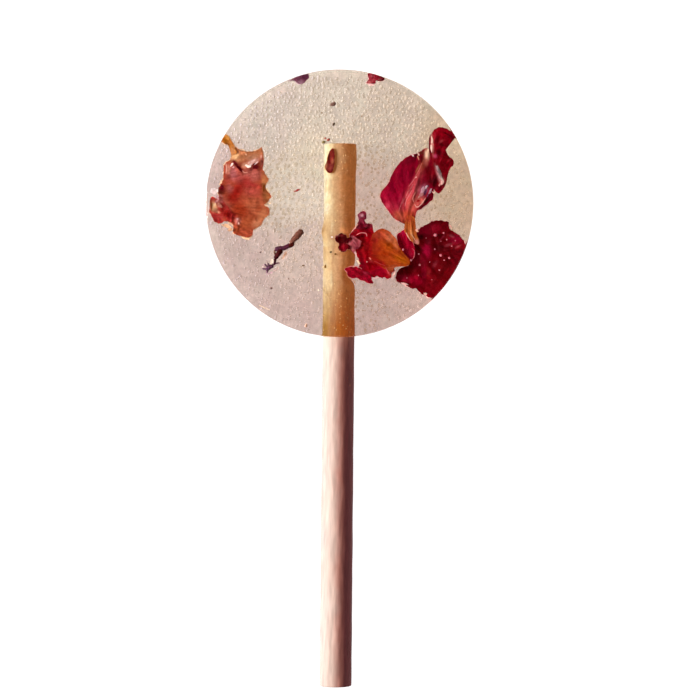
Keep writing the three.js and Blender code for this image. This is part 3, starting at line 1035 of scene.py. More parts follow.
# %% Left petal
LEFT_PETAL = [
    {"middle": (-17.4, 2.2), "height": 5.7, "claw": (-32.0, 1.0), "fan": (18, 0.12), "ragged": 0.17,
     "streaks": (0.18, 2.2, 0.45), "film": (0.26, (226, 188, 160)), "base": (154, 64, 46),
     "outline": [
         (-12.8, 1.5), (-13.6, 2.4), (-13.9, 3.4), (-13.4, 4.6), (-14.0, 5.7), (-14.4, 6.6), (-14.2, 7.8),
         (-14.3, 8.9), (-14.6, 10.6), (-15.2, 10.2), (-16.4, 9.8), (-17.8, 9.8), (-18.8, 10.1),
         (-19.6, 10.6), (-20.3, 9.6), (-20.5, 8.4), (-21.6, 7.4), (-21.8, 6.2), (-21.8, 5.0), (-22.1, 3.9),
         (-22.7, 2.9), (-22.8, 1.8), (-22.4, 0.4), (-21.8, -1.0), (-21.4, -2.6), (-20.6, -3.4),
         (-19.9, -4.0), (-20.0, -5.4), (-19.2, -5.9), (-18.4, -6.1), (-17.2, -6.3), (-16.4, -5.9),
         (-16.1, -4.8), (-15.0, -4.1), (-14.2, -3.0), (-13.4, -2.0), (-13.2, -0.9), (-14.0, -0.2),
         (-13.3, 0.5),
     ],
     "spots": [
         # the spot at -16.3, 8.7 is painted shade on the tan band
         (-17.4, 9.9, 4.2, 1.5, 0, (178, 112, 80), 0.98), (-16.3, 8.7, 1.5, 0.6, 10, (172, 120, 98)),
         (-19.7, 8.8, 0.9, 0.9, 40, (216, 170, 126)), (-17.2, 9.9, 3.2, 0.22, 0, (140, 78, 50), 0.8),
         (-18.4, 8.4, 1.4, 0.5, 30, (186, 122, 90)), (-16.6, 5.4, 2.1, 1.3, 0, (166, 88, 86)),
         (-17.4, 4.3, 0.9, 1.0, 20, (152, 50, 50), 0.8), (-20.0, 5.6, 0.9, 1.3, 0, (176, 98, 106)),
         (-20.9, 6.4, 0.4, 1.0, 0, (208, 146, 130), 0.7), (-20.9, 4.6, 0.6, 1.3, 0, (146, 58, 52), 0.8),
         (-18.8, 4.6, 0.7, 1.2, 0, (148, 62, 66), 0.8), (-19.2, 2.5, 2.3, 1.1, 48, (132, 18, 14), 0.98),
         (-16.4, 2.2, 1.8, 1.1, -20, (154, 62, 58)), (-16.4, 3.6, 1.6, 0.45, -15, (150, 42, 44), 0.8),
         (-20.6, 2.8, 0.7, 0.8, 0, (140, 70, 72), 0.8), (-14.0, 4.2, 0.7, 1.8, 5, (162, 100, 68), 0.98),
         (-13.7, 1.2, 0.9, 1.4, 10, (152, 92, 56)), (-16.0, -0.4, 2.2, 1.8, 10, (164, 84, 60)),
         (-18.4, -1.6, 1.4, 1.2, 0, (140, 46, 24), 0.8), (-14.3, -2.2, 1.2, 1.6, 0, (178, 108, 78)),
         (-18.9, -1.0, 1.3, 1.3, 0, (140, 44, 22), 0.9), (-21.2, -0.2, 0.8, 1.3, 20, (154, 74, 62)),
         (-21.2, -2.0, 0.8, 0.8, 40, (136, 18, 18)), (-20.4, -2.8, 0.6, 0.6, 0, (122, 4, 12)),
         (-17.0, -3.6, 2.0, 1.4, 10, (158, 74, 46)), (-15.4, -3.9, 1.0, 0.9, 0, (176, 112, 86), 0.9),
         (-17.2, -5.6, 1.4, 0.6, 0, (160, 70, 50)), (-19.4, -5.0, 0.7, 0.6, 0, (130, 54, 30)),
         (-22.0, 2.9, 0.6, 0.7, 20, (124, 22, 32), 0.95), (-22.1, 0.4, 0.6, 1.0, 0, (184, 90, 76), 0.8),
         # painted shade in the creases: the dark spots at -19.5, 7.6, -18.5, 6.5 and -15.7, 6.9
         (-22.4, 1.2, 0.5, 0.7, 0, (172, 108, 104), 0.8), (-19.5, 7.6, 0.95, 0.4, -45, (124, 30, 40), 0.9),
         (-18.5, 6.5, 0.7, 0.36, -40, (110, 16, 24), 0.9), (-15.7, 6.9, 0.6, 0.55, 30, (136, 34, 46), 0.9),
         (-16.6, 6.5, 0.5, 0.25, 20, (120, 50, 56)), (-14.6, 7.8, 0.3, 1.0, 0, (150, 84, 80), 0.8),
         # painted highlights: the pale spots at -17.7, 7.3 and -16.2, 7.9, beside the glints of air
         (-17.7, 7.3, 0.7, 0.5, 20, (196, 140, 118)), (-16.2, 7.9, 1.1, 0.4, 25, (196, 150, 150)),
         (-19.1, -3.2, 0.5, 0.6, 0, (166, 104, 106), 0.8), (-19.9, -2.2, 0.7, 0.7, 0, (112, 6, 12), 0.9),
         (-19.9, 0.8, 1.2, 0.9, 0, (122, 12, 8), 0.75), (-15.1, -0.9, 0.6, 0.6, 0, (146, 54, 30), 0.7),
     ],
     "folds": [
         # the dark folds at -19.6, 7.6, -18.8, 6.6, -15.7, 6.9 and -15.9, 7.5 are painted shade in the
         # creases
         (-19.6, 7.6, 0.62, 0.24, -50, (118, 26, 36)), (-18.8, 6.6, 0.75, 0.26, -46, (78, 2, 14)),
         (-15.7, 6.9, 0.5, 0.42, 25, (122, 20, 36)), (-15.9, 7.5, 0.5, 0.12, 35, (92, 14, 34)),
         (-22.1, 3.1, 0.45, 0.25, 60, (104, 10, 28)), (-17.3, 3.2, 0.9, 0.1, -12, (150, 46, 46)),
         (-14.2, 3.0, 0.16, 0.7, 0, (120, 62, 20)),
     ],
     "creases": [
         (-21.0, 8.2, -18.4, 6.0, 0.5, 0.25), (-18.4, 6.0, -14.8, 7.6, 0.45, 0.22),
         (-15.2, 4.8, -14.2, -0.6, 0.5, 0.14), (-19.0, -2.2, -19.4, -5.2, 0.4, 0.2),
     ]},
    {"middle": (-20.9, 11.2), "height": 5.8, "crumple": 0.08, "ragged": 0.07, "rings": 12, "around": 60,
     "film": (0.24, (226, 194, 168)), "base": (196, 118, 52),
     "outline": [
         (-20.0, 11.4), (-20.5, 12.2), (-21.2, 12.9), (-21.8, 12.5), (-22.1, 11.8), (-21.5, 11.2),
         (-20.9, 10.9), (-20.6, 10.2), (-20.2, 9.2), (-19.3, 9.6), (-19.7, 10.7),
     ],
     "spots": [
         (-21.4, 11.9, 0.6, 0.5, -30, (156, 86, 10), 0.98), (-21.1, 11.2, 0.5, 0.25, -20, (120, 62, 24)),
         (-20.0, 9.9, 0.5, 0.9, 10, (196, 134, 92)), (-20.9, 12.4, 0.4, 0.4, 0, (214, 152, 76), 0.8),
     ]},
    {"middle": (-22.7, -1.2), "height": 5.8, "claw": (-19.0, -1.5), "fan": (6, 0.12), "crumple": 0.14,
     "ragged": 0.13, "rings": 16, "around": 110, "film": (0.06, (226, 190, 164)), "base": (154, 44, 42),
     "outline": [
         (-20.3, -1.6), (-21.6, 0.2), (-22.3, 1.3), (-23.0, 1.0), (-23.6, 1.3), (-24.2, 1.1), (-24.3, 0.2),
         (-24.4, -1.2), (-24.1, -2.2), (-23.3, -3.5), (-22.3, -3.6), (-21.4, -3.3), (-20.2, -3.4),
     ],
     "spots": [
         (-23.6, -0.6, 0.65, 0.9, 0, (216, 168, 130), 0.98), (-24.2, 0.2, 0.2, 1.2, 0, (120, 56, 38)),
         (-22.5, 0.6, 0.8, 0.6, 0, (168, 92, 90)), (-23.2, -2.4, 0.9, 0.6, -10, (160, 44, 46)),
         (-22.0, -1.2, 0.6, 0.8, 0, (132, 26, 22), 0.9), (-21.6, -2.8, 0.5, 0.4, -30, (186, 76, 56)),
         (-20.8, -2.0, 0.7, 0.9, 0, (132, 14, 16), 0.9), (-22.9, -1.5, 0.5, 0.25, -20, (196, 130, 108)),
     ],
     "folds": [
         (-24.0, -0.4, 0.16, 0.75, 0, (126, 70, 44)), (-22.5, -0.3, 0.6, 0.3, -50, (196, 122, 110)),
         (-21.3, -1.9, 0.4, 0.5, 0, (142, 24, 20)), (-23.0, 0.5, 0.5, 0.2, 40, (196, 128, 130)),
         (-22.4, -2.5, 0.8, 0.16, -14, (176, 62, 60)),
     ],
     "creases": [
         (-23.8, -1.6, -21.2, -2.2, 0.3, 0.16), (-22.6, 0.4, -22.2, -1.2, 0.3, 0.14),
     ]},
]
petal("petal_left_sheet", LEFT_PETAL, "petal_left")

# %% [markdown]
# The upper right petal is magenta on the left and pink along its pleats, which gather in an amber claw.
# Its right side curls back over itself in a dark red roll with a silvery strip of air along it, a painted
# highlight, as is the pale band along the roll's edge and the glossy hollow near its claw; beside the roll
# lies painted shade. A true roll would hide its own inside, so the curl is a third blade, arched across its
# length, that lies on top of the first.

# %% Upper right petal
UPPER_RIGHT_PETAL = [
    {"middle": (13.0, 2.8), "height": 6.6, "arch": 0.006, "heading": 60, "claw": (12.9, -6.5),
     "fan": (8, 0.16), "ragged": 0.08, "streaks": (0.14, 0.5, 1.4), "film": (0.1, (214, 160, 160)),
     "base": (122, 0, 30),
     "outline": [
         (17.6, 2.4), (18.2, 3.8), (18.0, 5.6), (17.6, 7.2), (17.0, 9.0), (16.3, 10.4), (15.1, 9.8),
         (14.2, 9.3), (13.3, 9.1), (12.5, 8.7), (11.6, 8.0), (10.5, 6.7), (9.7, 5.3), (9.2, 4.0), (8.5, 3.1),
         (7.8, 2.2), (7.6, 1.3), (8.0, 0.2), (8.7, -0.8), (9.3, -1.6), (9.8, -2.4), (10.8, -3.2),
         (11.9, -3.7), (13.2, -3.9), (14.1, -2.8), (14.4, -1.5), (15.1, -1.1), (16.4, -0.1), (17.5, 1.0),
     ],
     "spots": [
         (11.8, 5.3, 1.6, 2.0, 60, (124, 0, 36), 0.7), (13.2, 8.3, 1.6, 0.8, 30, (90, 0, 22)),
         (9.2, 1.2, 1.6, 1.8, 60, (148, 6, 46)), (11.0, 1.0, 0.8, 1.8, -10, (152, 4, 46), 0.9),
         (10.0, -0.8, 1.5, 1.0, -40, (170, 34, 62)), (8.9, -0.4, 0.5, 0.5, 0, (182, 60, 88), 0.7),
         (9.9, 3.4, 0.8, 0.8, 0, (118, 0, 34)), (13.1, 1.6, 3.2, 0.8, 64, (188, 68, 82), 0.98),
         (14.2, 3.8, 2.4, 0.7, 62, (184, 62, 76)), (14.6, 2.6, 1.2, 0.4, 62, (198, 96, 104), 0.8),
         (12.3, 0.1, 0.6, 1.4, -12, (154, 32, 48), 0.8), (14.6, 3.6, 0.9, 0.4, 62, (196, 84, 96), 0.7),
         (15.0, 6.2, 1.8, 0.4, 66, (176, 70, 74), 0.85), (11.2, 0.8, 1.6, 0.25, 70, (150, 30, 60), 0.7),
         (13.6, 5.6, 1.8, 0.3, 58, (108, 0, 30), 0.8), (13.5, -0.4, 1.0, 1.6, 0, (200, 84, 78)),
         (12.8, -2.2, 1.5, 1.0, 0, (172, 62, 42), 0.98), (11.1, -2.3, 1.2, 0.9, -40, (186, 82, 66)),
         (12.9, -3.6, 0.9, 0.8, 0, (168, 78, 36)), (15.6, 7.4, 0.6, 1.3, -10, (128, 54, 40)),
         # painted shade beside the curl: the dark spots at 16.7, 5.8 and 17.3, 4.3
         (16.7, 5.8, 1.0, 1.9, 0, (92, 0, 12), 0.98), (17.3, 4.3, 0.8, 0.8, 0, (66, 0, 8), 0.98),
         (15.3, 4.0, 0.6, 1.3, -30, (116, 6, 32), 0.9), (14.9, 0.7, 0.9, 1.1, -35, (182, 82, 80), 0.98),
         # the mauve spot at 15.7, 2.6 is a painted highlight on the glossy hollow
         (15.7, 2.6, 1.1, 0.7, 62, (150, 84, 112)), (16.5, 0.7, 1.3, 0.35, 48, (60, 0, 8), 0.98),
         (16.3, 9.1, 0.45, 1.0, 0, (222, 180, 158), 0.98), (16.1, 7.9, 0.4, 0.8, 10, (176, 90, 84), 0.8),
         (15.3, 9.5, 0.6, 0.2, 20, (92, 50, 34)), (14.4, 9.0, 0.4, 0.3, 60, (50, 0, 10), 0.9),
     ],
     "folds": [
         # the pale folds around 14.9 to 17, 0.3 to 3.3 are painted highlights on the glossy hollow, with
         # darker streaks in it
         (15.5, 2.5, 0.75, 0.34, 64, (196, 146, 168)), (15.3, 1.7, 0.45, 0.3, 40, (196, 128, 136)),
         (16.1, 2.1, 0.6, 0.2, 62, (92, 44, 80)), (16.2, 3.1, 0.4, 0.18, 58, (212, 186, 204)),
         (16.95, 2.3, 0.6, 0.22, 70, (196, 154, 176)), (16.6, 3.3, 0.3, 0.1, 80, (90, 40, 70)),
         (16.5, 1.5, 0.4, 0.12, 60, (112, 60, 92)), (15.5, 0.3, 0.4, 0.2, 40, (190, 116, 106)),
         (14.7, 0.5, 0.35, 0.2, 30, (156, 22, 30)), (14.9, 1.3, 0.4, 0.12, 50, (214, 150, 150)),
         (14.6, 6.6, 0.8, 0.12, 62, (150, 84, 60)), (13.4, 3.0, 0.9, 0.1, 60, (196, 96, 106)),
         (12.6, 1.8, 0.8, 0.08, 64, (198, 100, 108)), (11.9, 0.4, 0.7, 0.08, 68, (184, 84, 100)),
         (14.0, 1.7, 0.7, 0.12, 60, (196, 92, 88)), (15.3, 8.3, 0.2, 0.7, -8, (96, 10, 18)),
         (14.7, 8.6, 0.5, 0.1, 110, (206, 130, 110)),
     ],
     "creases": [
         (12.4, -2.4, 14.9, 5.4, 0.4, 0.2), (13.4, -1.4, 15.8, 6.6, 0.3, -0.14),
         (14.4, -1.4, 17.0, 2.4, 0.4, 0.25), (11.0, -1.8, 11.6, 1.8, 0.3, 0.1),
         (14.1, 9.4, 14.6, 7.6, 0.3, -0.2),
     ]},
    {"middle": (13.3, -4.7), "height": 6.8, "claw": (13.1, -1.0), "fan": (14, 0.12), "crumple": 0.08,
     "ragged": 0.08, "rings": 12, "around": 80, "base": (164, 80, 36),
     "outline": [
         (14.3, -4.8), (14.2, -3.6), (14.0, -2.6), (12.8, -2.2), (12.3, -3.4), (12.1, -4.8), (12.5, -5.9),
         (13.1, -6.7), (13.9, -7.4), (14.7, -7.6), (14.9, -6.9), (14.5, -5.9),
     ],
     "spots": [
         (12.9, -2.9, 0.7, 0.7, 0, (166, 56, 34)), (13.4, -5.6, 0.25, 1.0, 15, (196, 130, 82), 0.8),
         (14.4, -7.2, 0.6, 0.5, 0, (176, 110, 108)), (13.8, -3.9, 0.3, 0.8, 0, (136, 48, 12), 0.8),
     ]},
    {"middle": (18.5, 8.2), "height": 7.4, "arch": 0.06, "heading": 88, "claw": (16.0, 0.0),
     "fan": (7, 0.12), "crumple": 0.16, "ragged": 0.1, "around": 200, "base": (112, 0, 16),
     "outline": [
         (21.3, 8.1), (20.6, 8.7), (20.1, 9.4), (19.8, 10.0), (19.35, 10.5), (19.35, 11.1), (19.9, 11.75),
         (20.8, 11.8), (21.5, 12.2), (21.3, 12.9), (20.3, 13.8), (18.9, 14.3), (17.8, 13.9), (17.1, 12.9),
         (16.8, 12.0), (16.7, 10.8), (16.8, 9.4), (17.2, 7.6), (17.2, 5.9), (17.2, 4.2), (17.6, 2.7),
         (18.5, 1.9), (19.3, 2.6), (19.9, 3.7), (20.2, 5.1), (20.6, 6.4), (21.3, 7.3),
     ],
     "spots": [
         (18.9, 13.0, 1.4, 0.9, 0, (136, 0, 20)), (20.9, 12.4, 0.8, 0.4, -40, (84, 0, 12)),
         (18.4, 10.4, 0.7, 1.4, 0, (128, 0, 22), 0.8), (17.9, 8.9, 0.35, 0.4, 20, (176, 60, 96), 0.8),
         # the pale spot at 17.3, 11.2 is a painted highlight along the roll
         (17.3, 11.2, 0.25, 1.9, 4, (190, 120, 116), 0.9), (19.0, 11.6, 0.5, 0.25, 30, (180, 60, 70), 0.7),
         (19.8, 8.4, 0.9, 1.0, 0, (116, 0, 14)), (19.6, 6.4, 0.8, 0.9, 30, (112, 0, 14), 0.8),
         (18.9, 9.6, 0.9, 0.25, -30, (80, 0, 14), 0.8), (20.5, 8.1, 0.5, 0.2, 20, (150, 30, 44), 0.7),
         # the dark spot at 17.8, 4.2 is painted shade beside the roll; the strip at 18.65, 5.2 is a painted
         # highlight
         (17.8, 4.2, 0.6, 1.4, 0, (58, 0, 8), 0.98), (17.7, 6.8, 0.35, 1.0, 0, (86, 0, 12)),
         (18.65, 5.2, 1.6, 0.42, 106, (156, 104, 110), 0.95),
         (19.2, 4.3, 0.4, 0.6, 20, (190, 110, 110), 0.9), (18.6, 2.9, 0.7, 0.5, 0, (92, 0, 16)),
     ],
     "folds": [
         # the pale folds from 18.3, 6.6 down to 18.7, 3.5 are painted highlights: the silvery strip along
         # the roll
         (18.3, 6.6, 0.5, 0.26, 112, (176, 146, 152)), (18.6, 5.9, 0.7, 0.36, 110, (180, 146, 152)),
         (18.8, 5.1, 0.55, 0.32, 104, (190, 152, 156)), (18.3, 5.9, 0.5, 0.07, 116, (84, 30, 50)),
         (19.1, 4.6, 0.4, 0.2, 106, (234, 208, 204)), (19.2, 4.0, 0.5, 0.3, 70, (230, 180, 174)),
         (18.7, 3.5, 0.35, 0.16, 60, (206, 130, 130)), (19.7, 7.5, 0.5, 0.1, -30, (92, 0, 16)),
         (18.6, 9.2, 0.9, 0.12, -50, (92, 0, 18)), (19.3, 10.9, 0.8, 0.1, -20, (92, 0, 14)),
         (17.8, 12.6, 0.2, 0.9, -6, (150, 10, 34)), (20.2, 12.9, 0.9, 0.14, -30, (92, 0, 12)),
         (19.0, 8.2, 0.5, 0.1, 60, (156, 20, 40)),
     ],
     "creases": [
         (18.2, 13.4, 18.0, 9.8, 0.3, 0.12), (19.4, 11.2, 18.6, 8.4, 0.4, -0.16),
         (18.0, 7.4, 18.9, 4.4, 0.35, 0.16), (20.6, 8.0, 19.2, 6.4, 0.4, 0.14),
     ]},
]
petal("petal_upper_right_sheet", UPPER_RIGHT_PETAL, "petal_upper_right")

# %% [markdown]
# The lower right petal is the darkest: deep crimson, cut off by the rim, with a brighter small blade
# between it and the petal in the middle. It lies lowest, so the others shade it, and round bubbles cling
# to it. Dark colours show no shading of their own, so its form comes from broad soft spots of brighter
# and darker red: partly its own colour, partly painted light and shade, and two dark spots are painted
# shadows of the petals above it.

# %% Lower right petal
LOWER_RIGHT_PETAL = [
    {"middle": (17.2, -10.4), "height": 4.8, "claw": (12.0, -6.0), "fan": (5, 0.14), "crumple": 0.18,
     "ragged": 0.15, "film": (0.16, (220, 164, 168)), "base": (98, 0, 12),
     "outline": [
         (23.1, -9.3), (23.3, -8.6), (23.4, -7.9), (23.3, -7.0), (22.7, -6.1), (21.5, -5.15), (20.75, -4.85),
         (20.5, -4.0), (20.35, -3.3), (19.3, -3.15), (18.2, -3.05), (17.2, -3.3), (16.5, -3.8), (15.3, -4.4),
         (14.5, -5.0), (14.0, -6.4), (13.2, -8.4), (13.0, -11.4), (11.5, -12.0), (10.85, -12.6),
         (10.5, -13.8), (11.0, -14.7), (12.2, -15.1), (13.2, -15.8), (14.4, -16.0), (15.2, -16.8),
         (16.2, -17.2), (17.6, -17.6), (19.4, -15.7), (21.2, -13.2), (22.5, -11.0),
     ],
     "spots": [
         (16.4, -4.8, 1.6, 1.2, 30, (134, 0, 40)), (17.8, -4.6, 1.4, 0.9, 0, (142, 8, 38)),
         # painted shadow: the dark spot at 15.2, -6.2, where the upper right petal's claw shades this one
         (16.3, -8.8, 0.8, 1.3, 0, (168, 8, 60)), (15.2, -6.2, 0.6, 0.5, 20, (56, 0, 8), 0.98),
         # painted shadow: the dark spot at 12.8, -12.4, where the petal beside the stick shades this one
         (18.8, -8.3, 1.8, 1.1, 0, (66, 0, 8)), (12.8, -12.4, 1.6, 0.6, 0, (92, 0, 8), 0.98),
         (14.4, -10.6, 0.9, 1.4, 20, (134, 4, 36)), (15.8, -10.2, 0.9, 0.9, 0, (134, 4, 34), 0.9),
         (14.2, -14.2, 1.6, 0.9, -20, (146, 0, 36)), (11.9, -13.9, 1.5, 0.6, -20, (142, 12, 46), 0.9),
         (17.2, -5.2, 0.6, 1.2, 0, (138, 14, 40), 0.7), (17.0, -15.4, 1.8, 1.2, 40, (96, 0, 12)),
         (19.4, -13.4, 1.4, 1.8, -40, (84, 0, 6), 0.9), (21.6, -10.4, 0.8, 1.4, -20, (84, 0, 12)),
         (21.8, -6.6, 1.2, 0.9, 0, (124, 4, 40)), (21.0, -6.0, 0.5, 0.2, -30, (160, 70, 88), 0.8),
         (20.4, -7.7, 0.7, 0.25, 20, (136, 50, 66), 0.8), (22.2, -8.0, 0.6, 0.2, 30, (140, 50, 66), 0.8),
         (19.2, -6.4, 0.9, 0.2, 50, (128, 30, 52), 0.7), (21.4, -8.6, 0.2, 0.6, 0, (60, 0, 10), 0.8),
         (17.9, -11.3, 0.35, 0.7, -30, (128, 40, 56), 0.7), (15.8, -12.6, 0.5, 2.0, 0, (116, 0, 30), 0.8),
         (20.0, -10.8, 1.4, 1.4, 0, (78, 0, 6)), (16.6, -7.2, 0.5, 0.5, 0, (122, 26, 50), 0.6),
         (20.2, -3.8, 0.4, 0.5, 0, (80, 0, 14), 0.8), (22.6, -8.9, 0.8, 0.5, 0, (70, 0, 10)),
     ],
     "creases": [
         (14.4, -8.4, 17.6, -13.4, 0.5, 0.16), (19.6, -4.6, 22.6, -8.0, 0.4, 0.14),
         (17.2, -4.4, 18.6, -8.8, 0.4, -0.14), (20.8, -9.4, 17.2, -15.8, 0.5, 0.14),
         (13.6, -13.4, 18.6, -14.4, 0.4, -0.12), (22.6, -7.2, 20.0, -8.6, 0.3, 0.14),
     ]},
    {"middle": (12.5, -7.6), "height": 5.7, "slope": (-0.05, 0.03), "crumple": 0.12, "ragged": 0.08,
     "rings": 14, "around": 100, "film": (0.1, (255, 182, 186)), "base": (168, 0, 44),
     "outline": [
         (14.1, -8.6), (13.8, -7.4), (13.6, -6.2), (12.9, -5.2), (12.2, -4.8), (11.4, -5.3), (10.8, -5.9),
         (10.8, -6.8), (11.0, -7.6), (11.4, -8.9), (12.3, -10.0), (13.2, -10.8), (13.9, -9.9),
     ],
     "spots": [
         (13.0, -9.4, 1.0, 0.8, -50, (176, 20, 58)), (13.4, -6.6, 0.6, 1.0, 0, (136, 0, 34), 0.8),
         (12.0, -5.4, 0.8, 0.4, 20, (172, 10, 68), 0.7), (12.3, -8.0, 0.3, 0.9, 20, (152, 0, 38), 0.8),
     ],
     "creases": [
         (12.6, -5.4, 13.2, -10.0, 0.4, 0.12),
     ]},
]
petal("petal_lower_right_sheet", LOWER_RIGHT_PETAL, "petal_lower_right")

# %% [markdown]
# Beside the stick several bits lie over each other: a crimson petal, an amber blade that runs to a point,
# a flap below, a small head above, and a dark knot on the stick itself with a mauve bit beside it. One
# sheet with many spots would lose the edges between them, so each is a blade, and their heights say which
# lies on which.

